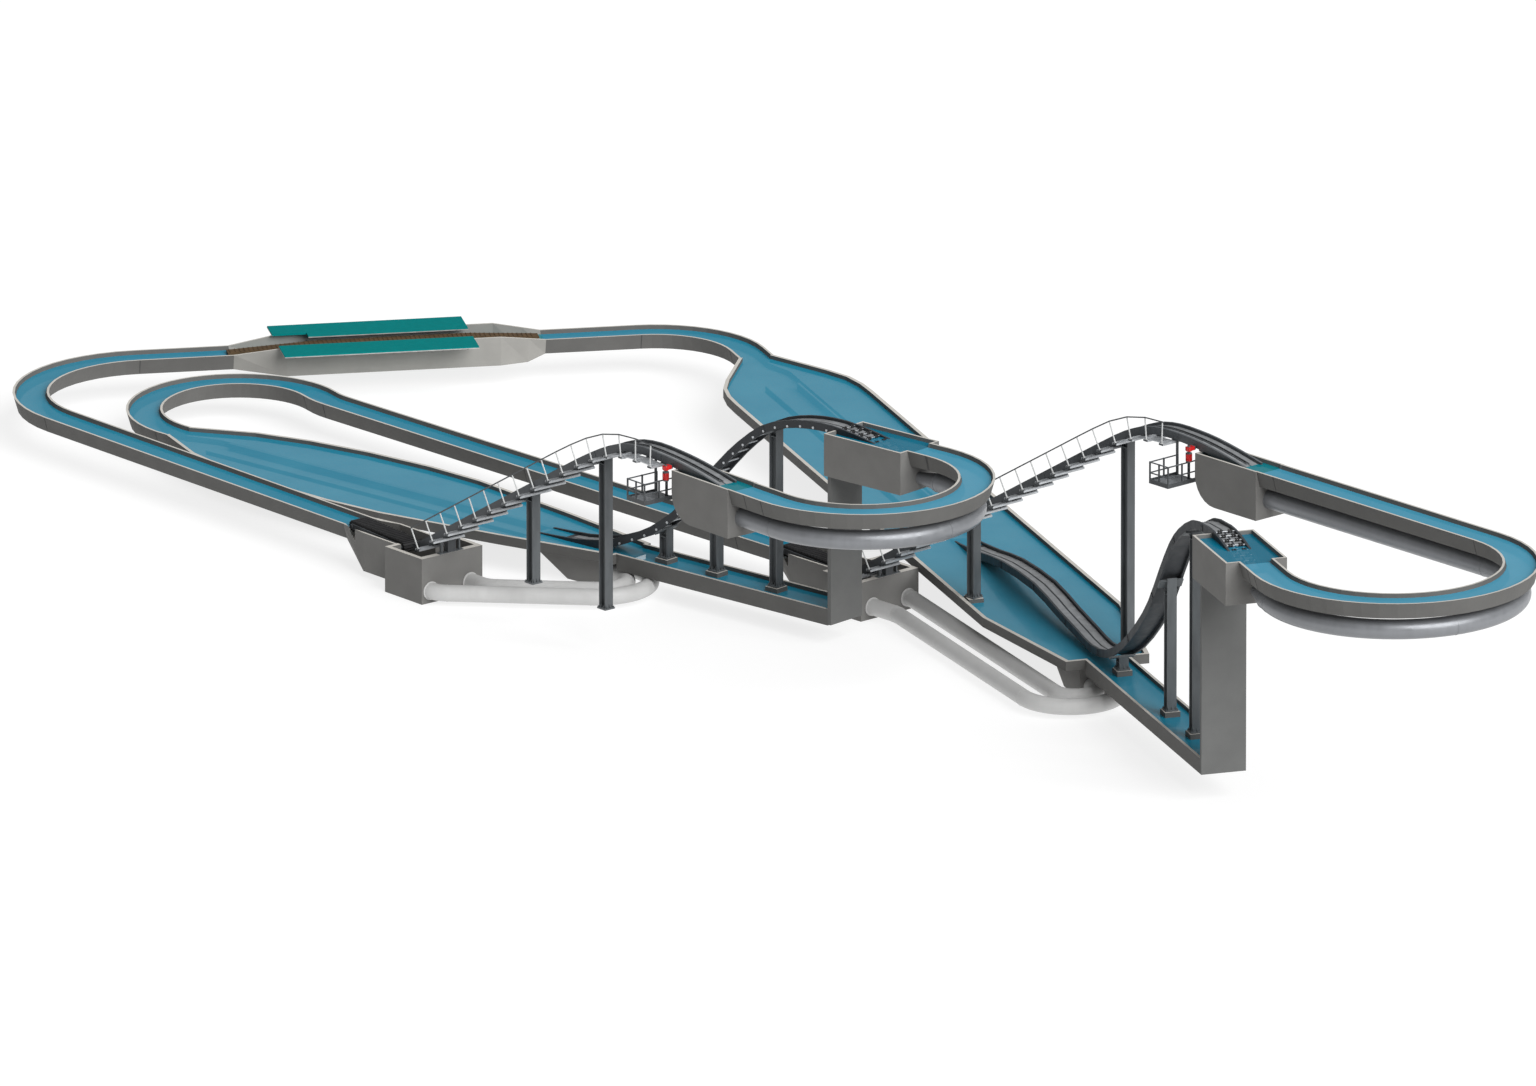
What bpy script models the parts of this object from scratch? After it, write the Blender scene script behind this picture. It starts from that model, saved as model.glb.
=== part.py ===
"""A log flume ride with two lifts and two drops, built as fixed plant, as a 1:10 model.

Every length below is the real ride's, in metres. All pieces hang from one empty, the site, which scales
them to 1:10 and puts the origin at the middle of the model's underside.
The site's u runs to the right, v away and z up. Five axes cross it: the station, two lifts and two drops.
On an axis, s runs along it, n to its left and z up, and a piece on an axis is modelled in s, n and z.
"""

import math

import bmesh
import bpy
from mathutils import Matrix, Vector

# Model
MODEL_SCALE = 0.1
PLAN_CENTRE = (-0.03, -7.86)
FOUNDATION_Z = -1.5
GAP = 0.004
TURN_STEP = 7.5

# Water systems: the upper rims of tanks and channels
RIM_STATION = 0.8
RIM_LOWER = 0.45
BASE_STATION = 0.0
BASE_LOWER = -0.35
RIM_LIFT_1 = 9.7
RIM_LIFT_2 = 12.4

# Axes: heading in degrees from u, and distance of the line from the site's origin
STATION_HEADING = 10.0
STATION_START = (-32.03, 30.31)
LIFT_1_HEADING, LIFT_1_OFFSET = -50.6, -15.15
DROP_1_HEADING, DROP_1_OFFSET = -42.0, -6.5
LIFT_2_HEADING, LIFT_2_OFFSET = -47.8, -0.45
DROP_2_HEADING, DROP_2_OFFSET = -71.6, 9.05

# Channel section
CHANNEL_BOTTOM_HALF = 0.70
CHANNEL_TOP_HALF = 0.93
CHANNEL_WALL = 0.12
CHANNEL_FLOOR = 0.10
ELEVATED_DEPTH = 0.82

# Station
TROUGH_HALF = 1.325
TROUGH_BOTTOM = -0.33
TROUGH_TOP = 1.17
TROUGH_START, TROUGH_END = 7.52, 18.6
STATION_LEFT_END, STATION_RIGHT_END = 4.85, 21.0
PLATFORM_THICKNESS = 0.09
BELT_HALF_WIDTH = 0.325

# Turns
LEFT_TURN_RADIUS = 6.47
RETURN_TURN_RADIUS = 4.92
LOOP_RADIUS_FIRST = 5.48
LOOP_RADIUS_SECOND = 4.55
LOOP_RADIUS_COUNTER = 5.0
ELEVATED_TURN_RADIUS_1 = 5.70
ELEVATED_TURN_RADIUS_2 = 6.35

# Lift pits
RAMP_HALF = 1.24
RAMP_WALL = 0.12
RAMP_DEPTH = 1.16
PIT_HALF = 1.96
PIT_WALL = 0.25
PIT_END_WALL = 0.35

# Pools and basins
POOL_WALL = 0.2
POOL_FLOOR = 0.1
BASIN_HALF = 1.17
BASIN_WALL = 0.15
GUIDE_HALF_SPACING = 0.85
GUIDE_THICKNESS = 0.12
GUIDE_HEIGHT = 0.4
STRIP_THICKNESS = 0.3
TRENCH_HALF, TRENCH_MOUTH_HALF = 1.2, 0.6
TRENCH_WALL = 0.12
TRENCH_WIDENING = 1.8
TRENCH_SHORT_OF_GUIDES = 0.4

# Tanks and towers
TANK_WALL = 0.12
TOWER_THICKNESS = 0.22

# Tracks
TRACK_HALF = 0.62
BEAM_WIDTH = 0.12
BEAM_DEPTH = 0.4
PLATE_TOP, PLATE_BOTTOM = 0.16, 0.22
TREAD_SPACING = 1.1
TREAD_OUTER = -1.42
TREAD_HALF_DEPTH = 0.14
TREAD_THICKNESS = 0.08
TREAD_DROP = 0.1
CROSS_PLATE_HALF = 0.05
HANDRAIL_HEIGHT = 1.15
POST_RADIUS = 0.04

# Columns
COLUMN_SIZE = 0.5
COLUMN_FLANGE = 0.05
COLUMN_WEB = 0.05
BASE_PLATE = 0.64
BASE_PLATE_THICKNESS = 0.08
CAP_THICKNESS = 0.1
CAP_HALF_LENGTH = 0.28
FOOTING_HALF = 0.4

# Pipes
SUCTION_RADIUS = 0.425
SUCTION_Z = -0.85
SUCTION_ELBOW = 1.2
LOW_RUN_HEADING, FAR_RUN_HEADING = -5.4, -66.3
ELEVATED_PIPE_RADIUS = 0.5
ELEVATED_PIPE_DROP = 1.58
REDUCER_RADIUS = 0.3
REDUCER_LENGTH = 1.5

# Places along the axes
LIFT_1_RAMP, LIFT_1_BEND, LIFT_1_PIT, LIFT_1_PIT_END = -13.95, -11.97, -9.35, -6.4
LIFT_2_RAMP, LIFT_2_BEND, LIFT_2_PIT, LIFT_2_PIT_END = 2.2, 4.23, 6.9, 9.76
TANK_1_BACK, TANK_1_FRONT = 12.2, 16.6
TANK_2_BACK, TANK_2_FRONT = 11.06, 16.2
TANK_3_BACK, TANK_3_FRONT = 33.35, 37.8
TANK_4_BACK, TANK_4_FRONT = 44.4, 49.5
LIFT_TANK_HALF, LIFT_TANK_HEIGHT, LIFT_TANK_CORNER = 0.97, 2.55, 1.4
DROP_TANK_HEIGHT = 2.2
TANK_2_HALF, TANK_4_HALF = 1.45, 1.6
BASIN_1_START, BASIN_2_START = -3.2, 26.8
POOL_1_START, POOL_2_START = -34.2, -28.7
POOL_1_UNDER, POOL_2_UNDER = -0.05, 0.3
POOL_1_GUIDES, POOL_2_GUIDES = (-31.5, -9.2), (-24.5, 3.9)
BASIN_1_BASE = -0.4
SUMP_1_FRONT, SUMP_2_FRONT = -4.0, 26.0
LIFT_1_COLUMNS, LIFT_2_COLUMNS = (0.05, 5.8), (15.98, 27.35)
LIFT_COLUMN_FOOT = 0.81
DROP_1_COLUMNS, DROP_2_COLUMNS = (-0.9, 2.49, 6.53), (29.05, 36.39, 40.27)

POOL_1_BANKS = [
    (POOL_1_START + GAP, CHANNEL_TOP_HALF),
    (-31.0, 2.5),
    (-28.0, 3.3),
    (-24.5, 3.8),
    (-20.5, 4.0),
    (-17.0, 3.85),
    (-10.0, 2.7),
    (BASIN_1_START, 1.4),
]
POOL_2_BANKS = [
    (POOL_2_START + GAP, CHANNEL_TOP_HALF),
    (-25.2, 2.8),
    (-23.8, 3.4),
    (-22.4, 3.65),
    (-21.0, 3.70),
    (18.3, 3.70),
    (BASIN_2_START, 2.2),
]

# Rail tops of the two lifts, from the pit up to the tank
LIFT_1_PATH = [
    (-8.81, 0.83),
    (-2.0, 4.77),
    (2.0, 7.08),
    (4.2, 8.35),
    (5.6, 9.10),
    (6.8, 9.66),
    (8.1, 10.07),
    (9.5, 10.22),
    (11.0, 10.18),
    (12.2, 10.09),
    (13.4, 9.95),
    (14.5, 9.78),
    (15.4, 9.62),
]
LIFT_2_PATH = [
    (7.4, 0.30),
    (18.0, 6.54),
    (24.0, 10.08),
    (27.0, 11.84),
    (28.3, 12.48),
    (29.4, 12.84),
    (30.6, 13.0),
    (32.0, 12.98),
    (33.4, 12.87),
    (35.0, 12.62),
    (36.6, 12.30),
]

# Rail tops of the two drops, from the pool up to the tank
DROP_1_PATH = [
    (-9.0, 0.30),
    (-6.55, 0.45),
    (-4.9, 0.72),
    (-4.0, 0.96),
    (-2.7, 1.50),
    (-1.43, 2.13),
    (-0.3, 2.93),
    (0.6, 3.72),
    (3.0, 6.33),
    (4.5, 7.78),
    (6.1, 8.95),
    (7.6, 9.51),
    (9.2, 9.80),
    (10.8, 9.87),
    (12.4, 9.72),
    (13.6, 9.52),
    (15.4, 9.15),
]
DROP_2_PATH = [
    (4.0, 0.55),
    (5.5, 0.68),
    (8.4, 1.10),
    (12.0, 1.67),
    (17.0, 1.95),
    (20.7, 1.65),
    (23.6, 1.44),
    (25.9, 1.30),
    (28.3, 1.70),
    (30.7, 2.86),
    (33.0, 4.50),
    (34.8, 6.15),
    (36.5, 8.30),
    (38.0, 10.06),
    (39.4, 11.20),
    (41.4, 12.22),
    (43.2, 12.50),
    (44.6, 12.58),
    (46.4, 12.33),
    (48.7, 11.80),
]


def clear_scene():
    for obj in list(bpy.data.objects):
        bpy.data.objects.remove(obj)


def collection(name):
    made = bpy.data.collections.new(name)
    bpy.context.scene.collection.children.link(made)
    return made


def principled(name, colour, roughness, metallic=0.0):
    made = bpy.data.materials.new(name)
    made.use_nodes = True
    shader = made.node_tree.nodes["Principled BSDF"]
    shader.inputs["Base Color"].default_value = (*colour, 1.0)
    shader.inputs["Roughness"].default_value = roughness
    shader.inputs["Metallic"].default_value = metallic
    made.diffuse_color = (*colour, 1.0)
    return made


clear_scene()
RIDE = collection("log_flume_ride")
TOOLS = collection("cutters_and_joined_pieces")

CONCRETE = principled("concrete", (0.20, 0.20, 0.19), 0.85)
FRAME_STEEL = principled("frame_steel", (0.09, 0.10, 0.12), 0.45, 0.6)
PIPE_STEEL = principled("pipe_steel", (0.22, 0.24, 0.27), 0.3, 0.7)
PALE_PIPE = principled("pale_pipe", (0.62, 0.62, 0.61), 0.5)
PLATFORM_TEAL = principled("platform_teal", (0.0, 0.22, 0.22), 0.6)
CONVEYOR_BROWN = principled("conveyor_brown", (0.12, 0.07, 0.03), 0.8)
BELT_BLACK = principled("belt_black", (0.01, 0.01, 0.01), 0.9)
MOTOR_RED = principled("motor_red", (0.5, 0.01, 0.01), 0.4)
GALVANISED = principled("galvanised", (0.55, 0.57, 0.60), 0.4, 0.6)


def empty(name, location, parent=None, rotation=0.0, scale=1.0):
    made = bpy.data.objects.new(name, None)
    made.location = location
    made.rotation_euler = (0.0, 0.0, rotation)
    made.scale = (scale, scale, scale)
    made.parent = parent
    RIDE.objects.link(made)
    return made


SITE = empty(
    "site",
    [-MODEL_SCALE * value for value in (*PLAN_CENTRE, FOUNDATION_Z)],
    scale=MODEL_SCALE,
)


class Axis:
    """A straight line across the site, with an empty that carries the pieces modelled on it."""

    def __init__(self, name, heading, offset=0.0, start=None):
        angle = math.radians(heading)
        self.heading = heading
        self.along = Vector((math.cos(angle), math.sin(angle)))
        self.left = Vector((-math.sin(angle), math.cos(angle)))
        self.origin = Vector(start) if start else self.left * offset
        self.empty = empty(name, (*self.origin, 0.0), SITE, angle)

    def at(self, s, n=0.0):
        return self.origin + self.along * s + self.left * n

    def line(self, n=0.0, reverse=False):
        """The heading of a line beside the axis, and its distance to the left of the site's origin."""
        offset = self.left.dot(self.origin) + n
        return (self.heading + 180.0, -offset) if reverse else (self.heading, offset)

    def s_of(self, point):
        return self.along.dot(Vector(point) - self.origin)


STATION = Axis("station_axis", STATION_HEADING, start=STATION_START)
LIFT_1 = Axis("lift_1_axis", LIFT_1_HEADING, LIFT_1_OFFSET)
DROP_1 = Axis("drop_1_axis", DROP_1_HEADING, DROP_1_OFFSET)
LIFT_2 = Axis("lift_2_axis", LIFT_2_HEADING, LIFT_2_OFFSET)
DROP_2 = Axis("drop_2_axis", DROP_2_HEADING, DROP_2_OFFSET)


def new_object(name, bm, parent, material):
    bmesh.ops.recalc_face_normals(bm, faces=bm.faces)
    mesh = bpy.data.meshes.new(name)
    bm.to_mesh(mesh)
    bm.free()
    mesh.materials.append(material)
    obj = bpy.data.objects.new(name, mesh)
    obj.parent = parent
    RIDE.objects.link(obj)
    return obj


def loft(name, rings, parent, material):
    """One closed body through a row of rings that all have the same number of points."""
    bm = bmesh.new()
    corner = bm.verts.layers.int.new("corner")
    for index, point in enumerate(rings[0]):
        vert = bm.verts.new(point)
        vert[corner] = index
    face = bm.faces.new(bm.verts)
    for index, ring in enumerate(rings[1:]):
        grown = bmesh.ops.extrude_face_region(bm, geom=[face])["geom"]
        if index > 0:
            bmesh.ops.delete(bm, geom=[face], context="FACES_ONLY")
        face = next(part for part in grown if isinstance(part, bmesh.types.BMFace))
        for vert in face.verts:
            vert.co = ring[vert[corner]]
    return new_object(name, bm, parent, material)


def box(name, s, n, z, parent, material):
    """A box between two values on each axis."""
    bm = bmesh.new()
    size = Vector((s[1] - s[0], n[1] - n[0], z[1] - z[0]))
    bmesh.ops.create_cube(bm, size=1.0)
    bmesh.ops.scale(bm, vec=size, verts=bm.verts)
    obj = new_object(name, bm, parent, material)
    obj.location = [(low + high) / 2 for low, high in (s, n, z)]
    return obj


def plan_prism(name, outline, low, high, parent, material):
    """A flat outline in s and n, carried up from low to high."""
    return loft(name, [[(s, n, z) for s, n in outline] for z in (low, high)], parent, material)


def side_prism(name, outline, right, left, parent, material):
    """An outline in s and z, carried across from right to left."""
    return loft(name, [[(s, n, z) for s, z in outline] for n in (right, left)], parent, material)


def rod(name, start, end, radius, parent, material, sides=6):
    """A round bar between two points."""
    start, end = Vector(start), Vector(end)
    bm = bmesh.new()
    bmesh.ops.create_cone(
        bm,
        cap_ends=True,
        segments=sides,
        radius1=radius,
        radius2=radius,
        depth=(end - start).length,
    )
    turn = (end - start).to_track_quat("Z", "Y").to_matrix().to_4x4()
    bmesh.ops.transform(bm, matrix=turn, verts=bm.verts)
    obj = new_object(name, bm, parent, material)
    obj.location = (start + end) / 2
    return obj


def shape_with(operation, obj, others):
    """Joins other pieces to this one, or cuts them out of it."""
    tools = bpy.data.collections.new(f"{obj.name}_{operation.lower()}")
    TOOLS.children.link(tools)
    for other in others:
        RIDE.objects.unlink(other)
        tools.objects.link(other)
        other.hide_render = True
        other.display_type = "WIRE"
    modifier = obj.modifiers.new(operation.lower(), "BOOLEAN")
    modifier.operation = operation
    modifier.operand_type = "COLLECTION"
    modifier.collection = tools
    return obj


def join(obj, others):
    return shape_with("UNION", obj, others)


def cut(obj, others):
    return shape_with("DIFFERENCE", obj, others)


def channel_section(bottom_half, top_half, base, rim, wall=CHANNEL_WALL, floor=CHANNEL_FLOOR):
    """A trough's section as points across and up, round from its outer bottom corner to the far rim."""
    inner_top = top_half - wall
    inner_bottom = bottom_half - wall
    return [
        (-bottom_half, base),
        (bottom_half, base),
        (top_half, rim),
        (inner_top, rim),
        (inner_bottom, base + floor),
        (-inner_bottom, base + floor),
        (-inner_top, rim),
        (-top_half, rim),
    ]


def ground_section(base):
    return channel_section(CHANNEL_BOTTOM_HALF, CHANNEL_TOP_HALF, base, base + RIM_STATION)


def elevated_section(rim):
    return channel_section(CHANNEL_BOTTOM_HALF, CHANNEL_TOP_HALF, rim - ELEVATED_DEPTH, rim)


def heading_vectors(heading):
    angle = math.radians(heading)
    along = Vector((math.cos(angle), math.sin(angle)))
    return along, Vector((-along.y, along.x))


def crossing(first, second):
    """Where two lines meet, each given by its heading and its distance to the left of the origin."""
    (_, left_a), (_, left_b) = heading_vectors(first[0]), heading_vectors(second[0])
    matrix = Matrix(((left_a.x, left_a.y), (left_b.x, left_b.y)))
    return matrix.inverted() @ Vector((first[1], second[1]))


def turn_centre(first, second, radius, side):
    """The centre of a turn from one line to another, to the left for side 1 and to the right for -1."""
    shift = side * radius
    return crossing((first[0], first[1] + shift), (second[0], second[1] + shift))


def turn_path(centre, radius, start, end):
    """Points and headings round a turn. A heading that grows turns to the left."""
    side = 1 if end > start else -1
    steps = math.ceil(abs(end - start) / TURN_STEP)
    path = []
    for index in range(steps + 1):
        heading = start + (end - start) * index / steps
        _, left = heading_vectors(heading)
        path.append((Vector(centre) - left * radius * side, heading))
    return path


def sweep(name, section, path, material=CONCRETE):
    """A section of points across and up, carried along points and headings on the site."""
    rings = []
    for point, heading in path:
        _, left = heading_vectors(heading)
        rings.append([(*(point + left * across), up) for across, up in section])
    return loft(name, rings, SITE, material)


def smooth(points, steps):
    """Points along a smooth curve that passes through the given ones."""
    path = []
    for index in range(len(points) - 1):
        before = points[max(index - 1, 0)]
        first = points[index]
        second = points[index + 1]
        after = points[min(index + 2, len(points) - 1)]
        for step in range(steps):
            t = step / steps
            path.append(
                tuple(
                    q + 0.5 * t * (r - p + t * (2 * p - 5 * q + 4 * r - w + t * (3 * q - p - 3 * r + w)))
                    for p, q, r, w in zip(before, first, second, after)
                )
            )
    path.append(tuple(points[-1]))
    return path


def slope_at(profile, index):
    """The track's angle at one point of its profile."""
    before = profile[max(index - 1, 0)]
    after = profile[min(index + 1, len(profile) - 1)]
    return math.atan2(after[1] - before[1], after[0] - before[0])


def on_profile(profile, s):
    """Height and angle of a track at s."""
    for before, after in zip(profile, profile[1:]):
        if before[0] <= s <= after[0]:
            share = (s - before[0]) / (after[0] - before[0])
            slope = math.atan2(after[1] - before[1], after[0] - before[0])
            return before[1] + (after[1] - before[1]) * share, slope
    raise ValueError(f"s {s} is beyond the track")


def beam_bottoms(profile):
    """The line of the beams' undersides."""
    line = []
    for index, (s, z) in enumerate(profile):
        slope = slope_at(profile, index)
        line.append((s + BEAM_DEPTH * math.sin(slope), z - BEAM_DEPTH * math.cos(slope)))
    return line


def underside(profile, s, reach=0.0):
    """The lowest height of the beams' undersides within reach of s."""
    line = beam_bottoms(profile)
    return min(on_profile(line, s - reach)[0], on_profile(line, s + reach)[0])


def track(name, axis, profile, seat=-99.0):
    """Two side beams with a floor plate between them, which grow shallow where they run out on a seat."""
    inner = TRACK_HALF - BEAM_WIDTH
    section = [
        (-TRACK_HALF, BEAM_DEPTH),
        (-inner, BEAM_DEPTH),
        (-inner, PLATE_BOTTOM),
        (inner, PLATE_BOTTOM),
        (inner, BEAM_DEPTH),
        (TRACK_HALF, BEAM_DEPTH),
        (TRACK_HALF, 0.0),
        (inner, 0.0),
        (inner, PLATE_TOP),
        (-inner, PLATE_TOP),
        (-inner, 0.0),
        (-TRACK_HALF, 0.0),
    ]
    rings = []
    for index, (s, z) in enumerate(profile):
        slope = slope_at(profile, index)
        share = min(1.0, (z - seat - GAP) / (BEAM_DEPTH * math.cos(slope)))
        rings.append(
            [
                (s + down * share * math.sin(slope), n, z - down * share * math.cos(slope))
                for n, down in section
            ]
        )
    return loft(name, rings, axis.empty, FRAME_STEEL)


def treads(name, axis, profile, columns, last):
    """Treads beside the track, evenly between the columns, each on a cross plate below the beams."""
    made = []
    places = []
    between = columns[1] - columns[0]
    spacing = between / round(between / TREAD_SPACING)
    below = int((columns[0] - profile[0][0] - 0.4) / spacing - 0.5)
    first = columns[0] - (below + 0.5) * spacing
    count = int((last - first) / spacing) + 1
    for index in range(count):
        s = first + index * spacing
        beam = underside(profile, s)
        top = beam - TREAD_DROP
        bottom = top - TREAD_THICKNESS
        for label, half, right, high in (
            ("tread", TREAD_HALF_DEPTH, TREAD_OUTER, top),
            ("plate", CROSS_PLATE_HALF, -TRACK_HALF, beam + 0.04),
        ):
            made.append(
                box(
                    f"{name}_{label}_{index + 1}",
                    (s - half, s + half),
                    (right, TRACK_HALF),
                    (bottom, high),
                    axis.empty,
                    FRAME_STEEL,
                )
            )
        places.append((s, top))
    return made, places


def handrail(name, axis, profile, places):
    """A rail on posts that stand square to the climb at the treads' outer ends."""
    n = TREAD_OUTER + 0.06
    posts = []
    tops = []
    for index, (s, z) in enumerate(places):
        _, slope = on_profile(profile, s)
        lean = Vector((-math.sin(slope), 0.0, math.cos(slope)))
        foot = Vector((s, n, z + GAP + POST_RADIUS * abs(math.sin(slope))))
        top = foot + lean * HANDRAIL_HEIGHT
        tops.append(top)
        posts.append(rod(f"{name}_post_{index + 1}", foot, top, POST_RADIUS, axis.empty, GALVANISED))
    rings = []
    for index, top in enumerate(tops):
        before = tops[max(index - 1, 0)]
        after = tops[min(index + 1, len(tops) - 1)]
        run = (after - before).normalized()
        up = Vector((-run.z, 0.0, run.x))
        side = Vector((0.0, 1.0, 0.0))
        end = 0.06 if index == len(tops) - 1 else -0.06 if index == 0 else 0.0
        ring = []
        for corner in range(6):
            angle = math.tau * (corner + 0.5) / 6
            ring.append(top + run * end + (side * math.cos(angle) + up * math.sin(angle)) * POST_RADIUS)
        rings.append(ring)
    rail = loft(name, rings, axis.empty, GALVANISED)
    return join(rail, posts)


def h_outline(size, flange, web):
    half = size / 2
    thin = web / 2
    inner = half - flange
    return [
        (-half, -half),
        (half, -half),
        (half, -inner),
        (thin, -inner),
        (thin, inner),
        (half, inner),
        (half, half),
        (-half, half),
        (-half, inner),
        (-thin, inner),
        (-thin, -inner),
        (-half, -inner),
    ]


def cap_place(profile, s):
    """Middle and slope of a column's cap, whose top lies just under the beams along all its length."""
    line = beam_bottoms(profile)
    low, _ = on_profile(line, s - CAP_HALF_LENGTH)
    high, _ = on_profile(line, s + CAP_HALF_LENGTH)
    slope = math.atan2(high - low, 2 * CAP_HALF_LENGTH)
    height, _ = on_profile(line, s)
    clearance = 0.0
    for step in range(-20, 21):
        beside = s + step * CAP_HALF_LENGTH / 20
        level, _ = on_profile(line, beside)
        rise = (level - height) * math.cos(slope) - (beside - s) * math.sin(slope)
        clearance = min(clearance, rise)
    drop = CAP_THICKNESS / 2 + GAP - clearance
    return s + drop * math.sin(slope), height - drop * math.cos(slope), slope


def column(name, axis, s, foot, profile):
    """A steel column on a base plate, with a cap under the track's beams that follows their slope."""
    cap_s, cap_z, slope = cap_place(profile, s)
    plate_top = foot + GAP + BASE_PLATE_THICKNESS
    outline = h_outline(COLUMN_SIZE, COLUMN_FLANGE, COLUMN_WEB)
    # The section's flanges face along the track.
    low = [(cap_s + y, x, plate_top - 0.02) for x, y in outline]
    high = [(cap_s + y, x, cap_z + y * math.tan(slope)) for x, y in outline]
    shaft = loft(name, [low, high], axis.empty, FRAME_STEEL)
    half = BASE_PLATE / 2
    plate = box(
        f"{name}_base_plate",
        (cap_s - half, cap_s + half),
        (-half, half),
        (foot + GAP, plate_top),
        axis.empty,
        FRAME_STEEL,
    )
    cap = box(
        f"{name}_cap",
        (-CAP_HALF_LENGTH, CAP_HALF_LENGTH),
        (-TRACK_HALF, TRACK_HALF),
        (-CAP_THICKNESS / 2, CAP_THICKNESS / 2),
        axis.empty,
        FRAME_STEEL,
    )
    cap.location = (cap_s, 0.0, cap_z)
    cap.rotation_euler = (0.0, -slope, 0.0)
    join(shaft, [plate, cap])


def symmetric_outline(stations, inset=0.0):
    """Both banks of a pool from its half widths along the axis."""
    near = [(s, -half + inset) for s, half in stations]
    far = [(s, half - inset) for s, half in reversed(stations)]
    return near + far


def pool(name, axis, stations, rim, under, base, guide_ends, strip_stations, footings):
    """A shallow pool with a trench along its middle, which carries the channel's floor on between guides.

    The pool's far wall stands on a strip foundation.
    """
    floor = under + POOL_FLOOR
    trench_floor = base + CHANNEL_FLOOR
    start, mouth = stations[0]
    end = stations[-1][0]
    guide_start, guide_end = guide_ends
    trench_end = guide_end - TRENCH_SHORT_OF_GUIDES
    widened = start + TRENCH_WIDENING
    trench_stations = [(start, TRENCH_MOUTH_HALF), (widened, TRENCH_HALF), (trench_end, TRENCH_HALF)]
    body = plan_prism(name, symmetric_outline(stations), under, rim, axis.empty, CONCRETE)
    outer_stations = trench_stations[:-1] + [(trench_end + TRENCH_WALL, TRENCH_HALF)]
    trench = plan_prism(
        f"{name}_trench",
        symmetric_outline(outer_stations, -TRENCH_WALL),
        base,
        under + 0.05,
        axis.empty,
        CONCRETE,
    )
    join(body, [trench])
    trench_inside = plan_prism(
        f"{name}_trench_inside",
        symmetric_outline([(start - 1.0, TRENCH_MOUTH_HALF)] + trench_stations),
        trench_floor,
        rim,
        axis.empty,
        CONCRETE,
    )
    inner_stations = [(start - 1.0, mouth)] + stations[:-1] + [(end - POOL_WALL, stations[-1][1])]
    inside = plan_prism(
        f"{name}_inside",
        symmetric_outline(inner_stations, POOL_WALL),
        floor,
        rim + 1.0,
        axis.empty,
        CONCRETE,
    )
    doorway = box(
        f"{name}_doorway",
        (end - 2 * POOL_WALL, end + 1.0),
        (BASIN_WALL - BASIN_HALF, BASIN_HALF - BASIN_WALL),
        (floor, rim + 1.0),
        axis.empty,
        CONCRETE,
    )
    cut(body, [trench_inside, inside, doorway])
    walls = []
    for side in (-1, 1):
        middle = side * GUIDE_HALF_SPACING
        walls.append(
            box(
                f"{name}_guide_{'near' if side < 0 else 'far'}",
                (guide_start, guide_end),
                (middle - GUIDE_THICKNESS / 2, middle + GUIDE_THICKNESS / 2),
                (trench_floor - 0.05, trench_floor + GUIDE_HEIGHT),
                axis.empty,
                CONCRETE,
            )
        )
    outer = [(s, half) for s, half in strip_stations]
    inner = [(s, half - STRIP_THICKNESS) for s, half in reversed(strip_stations)]
    walls.append(
        plan_prism(f"{name}_strip", outer + inner, FOUNDATION_Z, under + 0.05, axis.empty, CONCRETE)
    )
    for index, (s, n, top) in enumerate(footings):
        walls.append(
            box(
                f"{name}_footing_{index + 1}",
                (s - FOOTING_HALF, s + FOOTING_HALF),
                (n - FOOTING_HALF, n + FOOTING_HALF),
                (floor - 0.05, top),
                axis.empty,
                CONCRETE,
            )
        )
    return join(body, walls)


def basin(name, axis, start, end, base, rim, footings, footing_top):
    """A narrow basin open to its pool, with a closed end and a footing for each column."""
    body = box(name, (start + GAP, end - GAP), (-BASIN_HALF, BASIN_HALF), (base, rim), axis.empty, CONCRETE)
    inside = box(
        f"{name}_inside",
        (start - 1.0, end - BASIN_WALL),
        (BASIN_WALL - BASIN_HALF, BASIN_HALF - BASIN_WALL),
        (base + POOL_FLOOR, rim + 1.0),
        axis.empty,
        CONCRETE,
    )
    cut(body, [inside])
    blocks = [
        box(
            f"{name}_footing_{index + 1}",
            (s - FOOTING_HALF, s + FOOTING_HALF),
            (-FOOTING_HALF, FOOTING_HALF),
            (base + POOL_FLOOR / 2, footing_top),
            axis.empty,
            CONCRETE,
        )
        for index, s in enumerate(footings)
    ]
    return join(body, blocks)


def channel_mouth(name, axis, start, end, rim):
    """A cutter with the section of a channel's inside."""
    top = CHANNEL_TOP_HALF - CHANNEL_WALL
    bottom = CHANNEL_BOTTOM_HALF - CHANNEL_WALL
    base = rim - ELEVATED_DEPTH + CHANNEL_FLOOR
    slant = (top - bottom) / (rim - base)
    reach = top + slant
    outline = [(-bottom, base), (bottom, base), (reach, rim + 1.0), (-reach, rim + 1.0)]
    rings = [[(s, n, z) for n, z in outline] for s in (start, end)]
    return loft(name, rings, axis.empty, CONCRETE)


def sill(profile, back, rim):
    """The height at which a tank's back wall carries a track: its rim, or the floor of a notch in it."""
    return min(rim, underside(profile, back, 0.2) - 0.03)


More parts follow.
